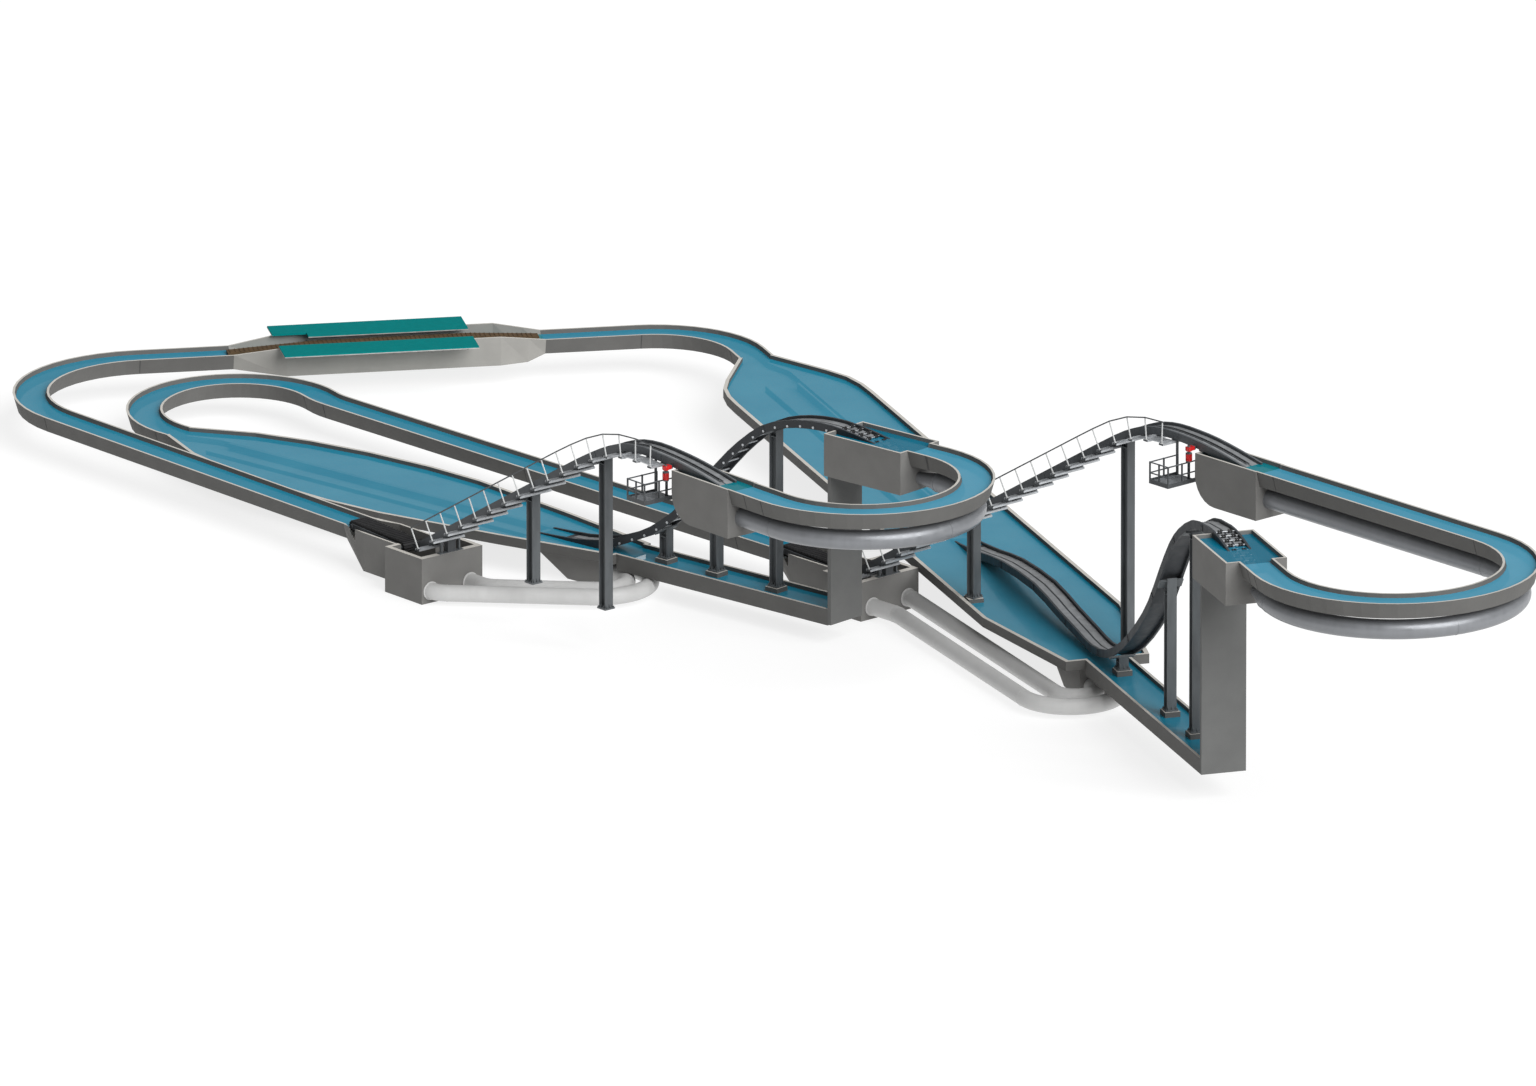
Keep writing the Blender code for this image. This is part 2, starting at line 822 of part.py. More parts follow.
def tank(name, axis, start, end, half, rim, height, corner, profile):
    """An open tank with a channel's opening in front, a notch for the track behind, and a rounded corner."""
    bottom = rim - height

    def outline(inset, top):
        low, back, front = bottom + inset, start + inset, end - inset
        radius = corner - inset
        if corner <= 0:
            return [(back, low), (front, low), (front, top), (back, top)]
        steps = 6
        bend = [
            (
                back + radius - radius * math.cos(math.pi / 2 * index / steps),
                low + radius - radius * math.sin(math.pi / 2 * index / steps),
            )
            for index in range(steps + 1)
        ]
        return bend + [(front, low), (front, top), (back, top)]

    body = side_prism(name, outline(0.0, rim), -half, half, axis.empty, CONCRETE)
    inner_half = half - TANK_WALL
    inside = side_prism(
        f"{name}_inside", outline(TANK_WALL, rim + 1.0), -inner_half, inner_half, axis.empty, CONCRETE
    )
    tools = [inside, channel_mouth(f"{name}_mouth", axis, end - 2 * TANK_WALL, end + 1.0, rim)]
    notch_floor = sill(profile, start, rim)
    if notch_floor < rim:
        notch_half = TRACK_HALF + 0.03
        notch = ((start - 1.0, start + 2 * TANK_WALL), (-notch_half, notch_half), (notch_floor, rim + 1.0))
        tools.append(box(f"{name}_notch", *notch, axis.empty, CONCRETE))
    return cut(body, tools)


def pit(name, axis, ramp_start, ramp_bend, box_start, box_end, base):
    """A lift's pit: the channel deepens and widens down a ramp, and a square pit holds the lift's foot."""
    rim = base + RIM_STATION
    low = max(base - RAMP_DEPTH, FOUNDATION_Z)
    ramp_rim = rim + 0.05
    pit_rim = rim + 0.09

    def ramp_rings(inset, floor, over):
        rows = [
            (ramp_start, CHANNEL_BOTTOM_HALF, CHANNEL_TOP_HALF, base, rim),
            (ramp_bend, RAMP_HALF, RAMP_HALF, low, ramp_rim),
            (box_start + 0.05 + inset, RAMP_HALF, RAMP_HALF, low, ramp_rim),
        ]
        if over:
            first = rows[0]
            rows.insert(0, (first[0] - 1.0, *first[1:]))
        rings = []
        for s, bottom_half, top_half, row_base, row_rim in rows:
            slant = (top_half - bottom_half) / (row_rim - row_base)
            top_reach = top_half + slant * over - inset
            rings.append(
                [
                    (s, inset - bottom_half, row_base + floor),
                    (s, bottom_half - inset, row_base + floor),
                    (s, top_reach, row_rim + over),
                    (s, -top_reach, row_rim + over),
                ]
            )
        return rings

    body = box(
        name, (box_start, box_end), (-PIT_HALF, PIT_HALF), (FOUNDATION_Z, pit_rim), axis.empty, CONCRETE
    )
    ramp = loft(f"{name}_ramp", ramp_rings(0.0, 0.0, 0.0), axis.empty, CONCRETE)
    join(body, [ramp])
    ramp_inside = loft(
        f"{name}_ramp_inside", ramp_rings(RAMP_WALL, CHANNEL_FLOOR, 1.0), axis.empty, CONCRETE
    )
    inside = box(
        f"{name}_inside",
        (box_start + PIT_WALL, box_end - PIT_END_WALL),
        (PIT_WALL - PIT_HALF, PIT_HALF - PIT_WALL),
        (FOUNDATION_Z + PIT_WALL, pit_rim + 1.0),
        axis.empty,
        CONCRETE,
    )
    passage = box(
        f"{name}_passage",
        (box_start - 0.1, box_start + 2 * PIT_WALL),
        (RAMP_WALL - RAMP_HALF, RAMP_HALF - RAMP_WALL),
        (low + CHANNEL_FLOOR, pit_rim + 1.0),
        axis.empty,
        CONCRETE,
    )
    return cut(body, [ramp_inside, inside, passage])


def infeed_belt(name, axis, start, end, start_top, end_top, radius, half, axle_half):
    """A short belt over two drums, whose axles run between the ramp's walls."""
    slope = math.atan2(end_top - start_top, end - start)
    first = (start + radius, start_top - radius)
    second = (end - radius, end_top - radius)
    outline = []
    for centre, turn in ((first, 90.0), (second, -90.0)):
        for index in range(7):
            angle = math.radians(turn + 30.0 * index) + slope
            outline.append((centre[0] + radius * math.cos(angle), centre[1] + radius * math.sin(angle)))
    belt = side_prism(name, outline, -half, half, axis.empty, BELT_BLACK)
    axles = []
    for index, share in enumerate((0.55, 0.93)):
        s = first[0] + (second[0] - first[0]) * share
        z = first[1] + (second[1] - first[1]) * share
        ends = (s, -axle_half, z), (s, axle_half, z)
        axles.append(rod(f"{name}_axle_{index + 1}", *ends, 0.07, axis.empty, FRAME_STEEL, 8))
    return join(belt, axles)


def service_platform(name, axis, back, rim, profile):
    """A railed platform behind a lift's tank, hung from the track's near beam."""
    floor = rim - 1.8
    start, end = back - 2.1, back - 0.7
    near, far = -2.15, -0.2
    deck = box(name, (start, end), (near, far), (floor, floor + 0.1), axis.empty, GALVANISED)
    bar = 0.035
    pieces = []
    corners = [(s, n) for s in (start + bar, end - bar) for n in (near + bar, far - bar)]
    middles = [((start + end) / 2, near + bar)]
    middles += [(s, (near + far) / 2) for s in (start + bar, end - bar)]
    for index, (s, n) in enumerate(corners + middles):
        pieces.append(
            box(
                f"{name}_post_{index + 1}",
                (s - bar, s + bar),
                (n - bar, n + bar),
                (floor + 0.05, floor + 1.1 + bar),
                axis.empty,
                GALVANISED,
            )
        )
    for level in (0.55, 1.1):
        z = (floor + level - bar * 0.8, floor + level + bar * 0.8)
        for label, s_range, n_range in (
            ("side", (start + bar, end - bar), (near + 0.01, near + 0.06)),
            ("low_end", (start + 0.01, start + 0.06), (near + bar, far - bar)),
            ("high_end", (end - 0.06, end - 0.01), (near + bar, far - bar)),
        ):
            pieces.append(box(f"{name}_{label}_rail_{level}", s_range, n_range, z, axis.empty, GALVANISED))
    for index, s in enumerate((start + 0.35, end - 0.2)):
        top = underside(profile, s, 0.05) - GAP
        pieces.append(
            box(
                f"{name}_hanger_{index + 1}",
                (s - 0.05, s + 0.05),
                (-0.61, -0.51),
                (floor + 0.05, top),
                axis.empty,
                GALVANISED,
            )
        )
    return join(deck, pieces)


def motor(name, axis, s, profile):
    """The lift's drive: a gearbox on the near beam and an upright motor beside it."""
    height, slope = on_profile(profile, s)
    middle = height - BEAM_DEPTH / 2 / math.cos(slope)
    gearbox = box(
        name,
        (s - 0.16, s + 0.16),
        (-1.16, -TRACK_HALF - GAP),
        (middle - 0.35, middle - 0.05),
        axis.empty,
        MOTOR_RED,
    )
    ends = (s, -1.0, middle - 0.88), (s, -1.0, middle - 0.1)
    body = rod(f"{name}_body", *ends, 0.18, axis.empty, MOTOR_RED, 10)
    return join(gearbox, [body])


def pipe(name, points, radii, parent, material):
    """A round pipe through points, with a radius for each."""
    widest = max(radii)
    data = bpy.data.curves.new(name, "CURVE")
    data.dimensions = "3D"
    data.twist_mode = "Z_UP"
    data.bevel_depth = widest
    data.bevel_resolution = 3
    data.use_fill_caps = True
    spline = data.splines.new("POLY")
    spline.points.add(len(points) - 1)
    for point, place, radius in zip(spline.points, points, radii):
        point.co = (*place, 1.0)
        point.radius = radius / widest
    data.materials.append(material)
    obj = bpy.data.objects.new(name, data)
    obj.parent = parent
    RIDE.objects.link(obj)
    return obj


def elbow(before, corner, after, radius):
    """Points and headings round one corner of a path in plan."""
    first = (Vector(corner) - Vector(before)).normalized()
    second = (Vector(after) - Vector(corner)).normalized()
    start = math.degrees(math.atan2(first.y, first.x))
    turn = math.degrees(first.angle_signed(second)) * -1
    side = 1 if turn > 0 else -1
    reach = radius * math.tan(math.radians(abs(turn)) / 2)
    _, left = heading_vectors(start)
    centre = Vector(corner) - first * reach + left * radius * side
    return [point for point, _ in turn_path(centre, radius, start, start + turn)]


def suction_pipe(name, pit_end, n, run, sump_end, arrival, radius):
    """A pipe from a lift's pit to a pool's sump: out of the pit, along a run, and round into the sump."""
    pit_axis, face_s = pit_end
    drop_axis, sump_face = sump_end
    out_line = pit_axis.line(n)
    in_line = drop_axis.line(arrival, reverse=True)
    centre = turn_centre(run, in_line, radius, 1)
    corner = crossing(out_line, run)
    bend = turn_path(centre, radius, run[0], in_line[0])
    start = pit_axis.at(face_s + GAP, n)
    plan = [start]
    plan += elbow(start, corner, bend[0][0], SUCTION_ELBOW)
    plan += [point for point, _ in bend]
    plan.append(drop_axis.at(sump_face + GAP, arrival))
    points = [(point.x, point.y, SUCTION_Z) for point in plan]
    return pipe(name, points, [SUCTION_RADIUS] * len(points), SITE, PALE_PIPE)


def sump(name, axis, front, bottom_start, slope_start, top):
    """A hopper under the pool's end, from which the pumps draw."""
    half = 1.2

    def outline(inset, over):
        return [
            (slope_start + inset * 1.8, top + over),
            (bottom_start + inset, FOUNDATION_Z + inset),
            (front - inset, FOUNDATION_Z + inset),
            (front - inset, top + over),
        ]

    body = side_prism(name, outline(0.0, 0.0), -half, half, axis.empty, CONCRETE)
    inside = side_prism(f"{name}_inside", outline(0.2, 0.02), 0.2 - half, half - 0.2, axis.empty, CONCRETE)
    return cut(body, [inside])


def station():
    rows = [
        (STATION_LEFT_END + GAP, CHANNEL_BOTTOM_HALF, CHANNEL_TOP_HALF, BASE_STATION, RIM_STATION),
        (TROUGH_START, TROUGH_HALF, TROUGH_HALF, TROUGH_BOTTOM, TROUGH_TOP),
        (TROUGH_END, TROUGH_HALF, TROUGH_HALF, TROUGH_BOTTOM, TROUGH_TOP),
        (20.05, 0.94, 1.08, TROUGH_BOTTOM, 0.95),
        (STATION_RIGHT_END - GAP, CHANNEL_BOTTOM_HALF, CHANNEL_TOP_HALF, BASE_STATION, RIM_STATION),
    ]
    rings = []
    for s, bottom_half, top_half, base, rim in rows:
        rings.append([(s, n, z) for n, z in channel_section(bottom_half, top_half, base, rim)])
    loft("station_trough", rings, STATION.empty, CONCRETE)

    deck = (TROUGH_TOP + GAP, TROUGH_TOP + GAP + PLATFORM_THICKNESS)
    box("station_platform_front", (7.12, 17.17), (-3.1, -1.16), deck, STATION.empty, PLATFORM_TEAL)
    back = [(7.12, 0.89), (8.9, 0.89), (8.9, 0.3), (17.17, 0.3), (17.17, 2.45), (7.12, 2.45)]
    plan_prism("station_platform_back", back, *deck, STATION.empty, PLATFORM_TEAL)

    path = [(4.65, 0.75), (9.1, 1.0), (17.3, 1.0), (20.75, 0.8)]
    thickness = 0.12
    outline = path + [(s, z - thickness) for s, z in reversed(path)]
    belt = side_prism(
        "station_conveyor", outline, -BELT_HALF_WIDTH, BELT_HALF_WIDTH, STATION.empty, CONVEYOR_BROWN
    )
    floor = TROUGH_BOTTOM + CHANNEL_FLOOR + GAP
    legs = []
    for index, s in enumerate((8.2, 12.6, 17.0, 19.7)):
        legs.append(
            box(
                f"conveyor_leg_{index + 1}",
                (s - 0.06, s + 0.06),
                (0.05 - BELT_HALF_WIDTH, BELT_HALF_WIDTH - 0.05),
                (floor, on_profile(path, s)[0] - thickness / 2),
                STATION.empty,
                CONVEYOR_BROWN,
            )
        )
    join(belt, legs)


def ground_channels():
    left = STATION.line(reverse=True)
    centre = turn_centre(left, LIFT_1.line(), LEFT_TURN_RADIUS, 1)
    turn = turn_path(centre, LEFT_TURN_RADIUS, left[0], LIFT_1_HEADING + 360.0)
    start = [(STATION.at(STATION_LEFT_END), left[0])]
    sweep("channel_turn_left", ground_section(BASE_STATION), start + turn)
    turn_end = LIFT_1.s_of(turn[-1][0])
    sweep(
        "channel_to_lift_1",
        ground_section(BASE_STATION),
        [(LIFT_1.at(turn_end + GAP), LIFT_1_HEADING), (LIFT_1.at(LIFT_1_RAMP - GAP), LIFT_1_HEADING)],
    )

    back = DROP_2.line(reverse=True)
    centre = turn_centre(back, left, RETURN_TURN_RADIUS, 1)
    turn = turn_path(centre, RETURN_TURN_RADIUS, back[0], left[0])
    path = [(DROP_2.at(POOL_2_START - GAP), back[0])] + turn + [(STATION.at(STATION_RIGHT_END), left[0])]
    sweep("channel_return", ground_section(BASE_STATION), path)

    # The loop leaves pool 1 on a wide bend, tightens, and swings back on to the second lift's axis.
    away = DROP_1.line(reverse=True)
    first_centre = DROP_1.at(POOL_1_START, LOOP_RADIUS_FIRST)
    quarter = away[0] - 90.0
    _, left_of_quarter = heading_vectors(quarter)
    second_centre = first_centre + left_of_quarter * (LOOP_RADIUS_FIRST - LOOP_RADIUS_SECOND)
    short = LOOP_RADIUS_SECOND - (LIFT_2.line()[1] - LIFT_2.left.dot(second_centre))
    beyond = math.degrees(math.acos(1.0 - short / (LOOP_RADIUS_SECOND + LOOP_RADIUS_COUNTER)))
    crossing_heading = LIFT_2_HEADING - beyond
    _, left_there = heading_vectors(crossing_heading)
    counter_centre = second_centre + left_there * (LOOP_RADIUS_SECOND + LOOP_RADIUS_COUNTER)
    path = turn_path(first_centre, LOOP_RADIUS_FIRST, away[0], quarter)
    path += turn_path(second_centre, LOOP_RADIUS_SECOND, quarter, crossing_heading)[1:]
    path += turn_path(counter_centre, LOOP_RADIUS_COUNTER, crossing_heading, LIFT_2_HEADING)[1:]
    sweep("channel_loop", ground_section(BASE_LOWER), path)
    loop_end = LIFT_2.s_of(path[-1][0])
    sweep(
        "channel_to_lift_2",
        ground_section(BASE_LOWER),
        [(LIFT_2.at(loop_end + GAP), LIFT_2_HEADING), (LIFT_2.at(LIFT_2_RAMP - GAP), LIFT_2_HEADING)],
    )


def elevated_run(number, lift_axis, lift_front, drop_axis, drop_front, radius, side, rim):
    """The high channel between two tanks, and the feed pipe that follows it below."""
    first = lift_axis.line()
    second = drop_axis.line(reverse=True)
    turn_end = second[0] if side > 0 else second[0] - 360.0
    centre = turn_centre(first, second, radius, side)
    turn = turn_path(centre, radius, first[0], turn_end)
    path = [(lift_axis.at(lift_front + GAP), first[0])] + turn
    path.append((drop_axis.at(drop_front + GAP), turn_end))
    sweep(f"elevated_channel_{number}", elevated_section(rim), path)
    height = rim - ELEVATED_PIPE_DROP
    plan = [point for point, _ in path]
    stop = plan.pop()
    widening = drop_axis.at(drop_front + REDUCER_LENGTH)
    narrow = drop_axis.at(drop_front + 0.25)
    plan += [widening, narrow, stop]
    radii = [ELEVATED_PIPE_RADIUS] * (len(plan) - 2) + [REDUCER_RADIUS] * 2
    pipe(
        f"elevated_pipe_{number}",
        [(point.x, point.y, height) for point in plan],
        radii,
        SITE,
        PIPE_STEEL,
    )


def lift(number, axis, profile, pit_wall, pit_top, tank_back, rim, last_tread, columns):
    """A lift's track on its pit, columns and upper tank, with the walkway, drive and service platform."""
    name = f"lift_{number}"
    frame = track(f"{name}_track", axis, profile)
    steps, places = treads(name, axis, profile, columns, last_tread)
    # The foot stands on the pit's end wall and reaches into the floor plate between the beams.
    lower_edge, slope = on_profile(profile, pit_wall - 0.15)
    foot = box(
        f"{name}_foot",
        (pit_wall - 0.15, pit_wall + 0.15),
        (-0.25, 0.25),
        (pit_top + GAP, lower_edge - (PLATE_TOP + PLATE_BOTTOM) / 2 / math.cos(slope)),
        axis.empty,
        FRAME_STEEL,
    )
    saddle = box(
        f"{name}_saddle",
        (tank_back - 0.1, tank_back + 0.2),
        (-TRACK_HALF, TRACK_HALF),
        (sill(profile, tank_back, rim) + GAP, underside(profile, tank_back) + 0.04),
        axis.empty,
        FRAME_STEEL,
    )
    join(frame, steps + [foot, saddle])
    handrail(f"{name}_handrail", axis, profile, places)
    service_platform(f"{name}_service_platform", axis, tank_back, rim, profile)
    motor(f"{name}_motor", axis, tank_back - 0.42, profile)
    for label, s in zip(("low", "high"), columns):
        column(f"{name}_column_{label}", axis, s, LIFT_COLUMN_FOOT, profile)


def drop(number, axis, profile, seat, tank_back, rim, columns, footing_top):
    """A drop's track from its tank down to the pool, on three columns."""
    name = f"drop_{number}"
    frame = track(f"{name}_track", axis, profile, seat)
    saddle = box(
        f"{name}_saddle",
        (tank_back - 0.1, tank_back + 0.2),
        (-TRACK_HALF, TRACK_HALF),
        (sill(profile, tank_back, rim) + GAP, underside(profile, tank_back) + 0.06),
        axis.empty,
        FRAME_STEEL,
    )
    join(frame, [saddle])
    for index, s in enumerate(columns):
        column(f"{name}_column_{index + 1}", axis, s, footing_top, profile)


def main():
    station()
    ground_channels()

    profile_1 = smooth(LIFT_1_PATH, 2)
    profile_2 = smooth(LIFT_2_PATH, 2)
    drop_profile_1 = smooth(DROP_1_PATH, 2)
    drop_profile_2 = smooth(DROP_2_PATH, 2)

    pit("lift_1_pit", LIFT_1, LIFT_1_RAMP, LIFT_1_BEND, LIFT_1_PIT, LIFT_1_PIT_END, BASE_STATION)
    pit("lift_2_pit", LIFT_2, LIFT_2_RAMP, LIFT_2_BEND, LIFT_2_PIT, LIFT_2_PIT_END, BASE_LOWER)
    axle_half = RAMP_HALF - RAMP_WALL - GAP
    infeed_belt("lift_1_infeed_belt", LIFT_1, -14.0, -9.6, 0.9, 0.7, 0.26, 0.5, axle_half)
    infeed_belt("lift_2_infeed_belt", LIFT_2, 2.15, 6.6, 0.55, 0.35, 0.26, 0.5, axle_half)

    lift(
        1,
        LIFT_1,
        profile_1,
        LIFT_1_PIT_END - PIT_END_WALL / 2,
        BASE_STATION + RIM_STATION + 0.09,
        TANK_1_BACK,
        RIM_LIFT_1,
        11.0,
        LIFT_1_COLUMNS,
    )
    lift(
        2,
        LIFT_2,
        profile_2,
        LIFT_2_PIT_END - PIT_END_WALL / 2,
        BASE_LOWER + RIM_STATION + 0.09,
        TANK_3_BACK,
        RIM_LIFT_2,
        32.15,
        LIFT_2_COLUMNS,
    )

    lift_tank = (LIFT_TANK_HEIGHT, LIFT_TANK_CORNER)
    drop_tank = (DROP_TANK_HEIGHT, 0.0)
    tank("tank_1", LIFT_1, TANK_1_BACK, TANK_1_FRONT, LIFT_TANK_HALF, RIM_LIFT_1, *lift_tank, profile_1)
    tank("tank_2", DROP_1, TANK_2_BACK, TANK_2_FRONT, TANK_2_HALF, RIM_LIFT_1, *drop_tank, drop_profile_1)
    tank("tank_3", LIFT_2, TANK_3_BACK, TANK_3_FRONT, LIFT_TANK_HALF, RIM_LIFT_2, *lift_tank, profile_2)
    tank("tank_4", DROP_2, TANK_4_BACK, TANK_4_FRONT, TANK_4_HALF, RIM_LIFT_2, *drop_tank, drop_profile_2)
    elevated_run(1, LIFT_1, TANK_1_FRONT, DROP_1, TANK_2_FRONT, ELEVATED_TURN_RADIUS_1, 1, RIM_LIFT_1)
    elevated_run(2, LIFT_2, TANK_3_FRONT, DROP_2, TANK_4_FRONT, ELEVATED_TURN_RADIUS_2, -1, RIM_LIFT_2)

    for number, axis, back, base, rim in (
        (1, DROP_1, TANK_2_BACK, BASE_LOWER, RIM_LIFT_1),
        (2, DROP_2, TANK_4_BACK, BASE_STATION, RIM_LIFT_2),
    ):
        top = rim - DROP_TANK_HEIGHT - GAP
        box(
            f"tower_{number}",
            (back, back + TOWER_THICKNESS),
            (-BASIN_HALF, BASIN_HALF),
            (base, top),
            axis.empty,
            CONCRETE,
        )

    drop(1, DROP_1, drop_profile_1, POOL_1_UNDER + POOL_FLOOR, TANK_2_BACK, RIM_LIFT_1, DROP_1_COLUMNS, 0.49)
    drop(2, DROP_2, drop_profile_2, POOL_2_UNDER + POOL_FLOOR, TANK_4_BACK, RIM_LIFT_2, DROP_2_COLUMNS, 0.87)
    basin(
        "splash_basin_1",
        DROP_1,
        BASIN_1_START,
        TANK_2_BACK,
        BASIN_1_BASE,
        RIM_LOWER,
        [cap_place(drop_profile_1, s)[0] for s in DROP_1_COLUMNS],
        0.49,
    )
    basin(
        "splash_basin_2",
        DROP_2,
        BASIN_2_START,
        TANK_4_BACK,
        BASE_STATION,
        RIM_STATION,
        [cap_place(drop_profile_2, s)[0] for s in DROP_2_COLUMNS],
        0.87,
    )

    footings_2 = []
    for s in LIFT_2_COLUMNS:
        point = LIFT_2.at(cap_place(profile_2, s)[0])
        footings_2.append((DROP_2.s_of(point), DROP_2.left.dot(point - DROP_2.origin), LIFT_COLUMN_FOOT))
    pool(
        "pool_1",
        DROP_1,
        POOL_1_BANKS,
        RIM_LOWER,
        POOL_1_UNDER,
        BASE_LOWER,
        POOL_1_GUIDES,
        POOL_1_BANKS[2:7],
        [],
    )
    pool(
        "pool_2",
        DROP_2,
        POOL_2_BANKS,
        RIM_STATION,
        POOL_2_UNDER,
        BASE_STATION,
        POOL_2_GUIDES,
        POOL_2_BANKS[4:6],
        footings_2,
    )
    sump("sump_1", DROP_1, SUMP_1_FRONT, -6.5, -9.1, POOL_1_UNDER - GAP)
    sump("sump_2", DROP_2, SUMP_2_FRONT, 23.55, 20.7, POOL_2_UNDER - GAP)

    pit_1, sump_end_1 = (LIFT_1, LIFT_1_PIT_END), (DROP_1, SUMP_1_FRONT)
    pit_2, sump_end_2 = (LIFT_2, LIFT_2_PIT_END), (DROP_2, SUMP_2_FRONT)
    suction_pipe("suction_pipe_1_outer", pit_1, -1.40, (LOW_RUN_HEADING, -7.5), sump_end_1, 0.6, 2.75)
    suction_pipe("suction_pipe_1_inner", pit_1, 1.15, (LOW_RUN_HEADING, -6.3), sump_end_1, -0.6, 1.55)
    suction_pipe("suction_pipe_2_outer", pit_2, -1.20, (FAR_RUN_HEADING, 2.13), sump_end_2, 0.57, 2.5)
    suction_pipe("suction_pipe_2_inner", pit_2, 1.22, (FAR_RUN_HEADING, 3.90), sump_end_2, -0.57, 1.05)


main()
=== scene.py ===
"""A log flume ride, dressed: finishes, water, fittings, floor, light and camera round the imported 1:10 model.

Every length below is the real ride's, in metres, and a piece is scaled to the model as it is finished.
The site's u runs to the right, v away and z up. On an axis, s runs along it, n to its left and z up.
"""

import math

import bmesh
import bpy
from mathutils import Matrix, Vector


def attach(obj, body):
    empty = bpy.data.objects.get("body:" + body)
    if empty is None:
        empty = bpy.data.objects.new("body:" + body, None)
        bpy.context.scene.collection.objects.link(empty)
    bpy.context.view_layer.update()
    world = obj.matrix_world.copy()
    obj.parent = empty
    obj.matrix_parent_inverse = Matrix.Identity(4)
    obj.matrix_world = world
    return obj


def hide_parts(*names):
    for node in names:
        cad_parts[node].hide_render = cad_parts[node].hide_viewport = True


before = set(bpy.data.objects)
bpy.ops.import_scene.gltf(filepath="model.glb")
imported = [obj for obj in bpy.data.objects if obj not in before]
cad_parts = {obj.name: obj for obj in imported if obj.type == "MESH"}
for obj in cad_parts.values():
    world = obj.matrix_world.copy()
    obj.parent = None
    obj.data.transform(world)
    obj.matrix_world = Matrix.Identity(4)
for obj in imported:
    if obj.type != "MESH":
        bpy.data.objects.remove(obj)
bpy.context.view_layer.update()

# Model
MODEL_SCALE = 0.1
PLAN_CENTRE = (-0.03, -7.86)
FOUNDATION_Z = -1.5
GAP = 0.004
TURN_STEP, FINE_STEP = 7.5, 2.5
SHARP_ANGLE = math.radians(38)

# Water systems: the upper rims of tanks and channels, and the water below them
RIM_STATION, RIM_LOWER = 0.8, 0.45
BASE_STATION, BASE_LOWER = 0.0, -0.35
RIM_LIFT_1, RIM_LIFT_2 = 9.7, 12.4
WATER_DROP = 0.2
GROUND_WATER_HALF, ELEVATED_WATER_HALF = 0.744, 0.739

# Axes: heading in degrees from u, and distance of the line from the site's origin
STATION_HEADING = 10.0
STATION_START = (-32.03, 30.31)
LIFT_1_HEADING, LIFT_1_OFFSET = -50.6, -15.15
DROP_1_HEADING, DROP_1_OFFSET = -42.0, -6.5
LIFT_2_HEADING, LIFT_2_OFFSET = -47.8, -0.45
DROP_2_HEADING, DROP_2_OFFSET = -71.6, 9.05

# Channels
CHANNEL_BOTTOM_HALF, CHANNEL_TOP_HALF = 0.70, 0.93
ELEVATED_DEPTH = 0.82
LEFT_TURN_RADIUS, RETURN_TURN_RADIUS = 6.47, 4.92
LOOP_RADIUS_FIRST, LOOP_RADIUS_SECOND, LOOP_RADIUS_COUNTER = 5.48, 4.55, 5.0
ELEVATED_TURN_RADIUS_1, ELEVATED_TURN_RADIUS_2 = 5.70, 6.35
CHANNEL_2_JOINTS = (-16.7, -0.8)
HIGH_JOINT_REACH = 1.2

# Station
STATION_LEFT_END, STATION_RIGHT_END = 4.85, 21.0
TROUGH_START, TROUGH_END = 7.52, 18.6
TROUGH_TOP, TROUGH_WATER_HALF = 1.17, 1.2
TROUGH_TAPER_CORNER = (20.05, 0.915)
PLATFORM_THICKNESS = 0.09
DECK_ENDS = (7.12, 17.17)
FRONT_DECK, BACK_DECK = (-3.1, -1.16), (0.3, 2.45)
BACK_DECK_NOTCH = (8.9, 0.89)
CONVEYOR_PATH = [(4.65, 0.75), (9.1, 1.0), (17.3, 1.0), (20.75, 0.8)]

# Pools and basins
POOL_WALL = 0.2
BASIN_HALF, BASIN_WALL = 1.17, 0.15
POOL_1_START, POOL_2_START = -34.2, -28.7
POOL_1_BANKS = [
    (POOL_1_START, 0.93),
    (-31.0, 2.5),
    (-28.0, 3.3),
    (-24.5, 3.8),
    (-20.5, 4.0),
    (-17.0, 3.85),
    (-10.0, 2.7),
    (-3.2, 1.4),
]
POOL_2_BANKS = [
    (POOL_2_START, 0.93),
    (-25.2, 2.8),
    (-23.8, 3.4),
    (-22.4, 3.65),
    (-21.0, 3.70),
    (18.3, 3.70),
    (26.8, 2.2),
]

# Tanks, each from its back to its front
TANK_1, TANK_2 = (12.2, 16.6), (11.06, 16.2)
TANK_3, TANK_4 = (33.35, 37.8), (44.4, 49.5)
TANK_WALL = 0.12
LIFT_TANK_HALF, TANK_2_HALF, TANK_4_HALF = 0.97, 1.45, 1.6

# Pits, and their belts as start, end, and the belt's height at both
LIFT_1_RAMP, LIFT_1_PIT_END = -13.95, -6.4
LIFT_2_RAMP, LIFT_2_PIT_END = 2.2, 9.76
PIT_END_WALL, PIT_RISE = 0.35, 0.89
BELT_RADIUS, BELT_HALF = 0.26, 0.5
BELT_1, BELT_2 = (-14.0, -9.6, 0.9, 0.7), (2.15, 6.6, 0.55, 0.35)

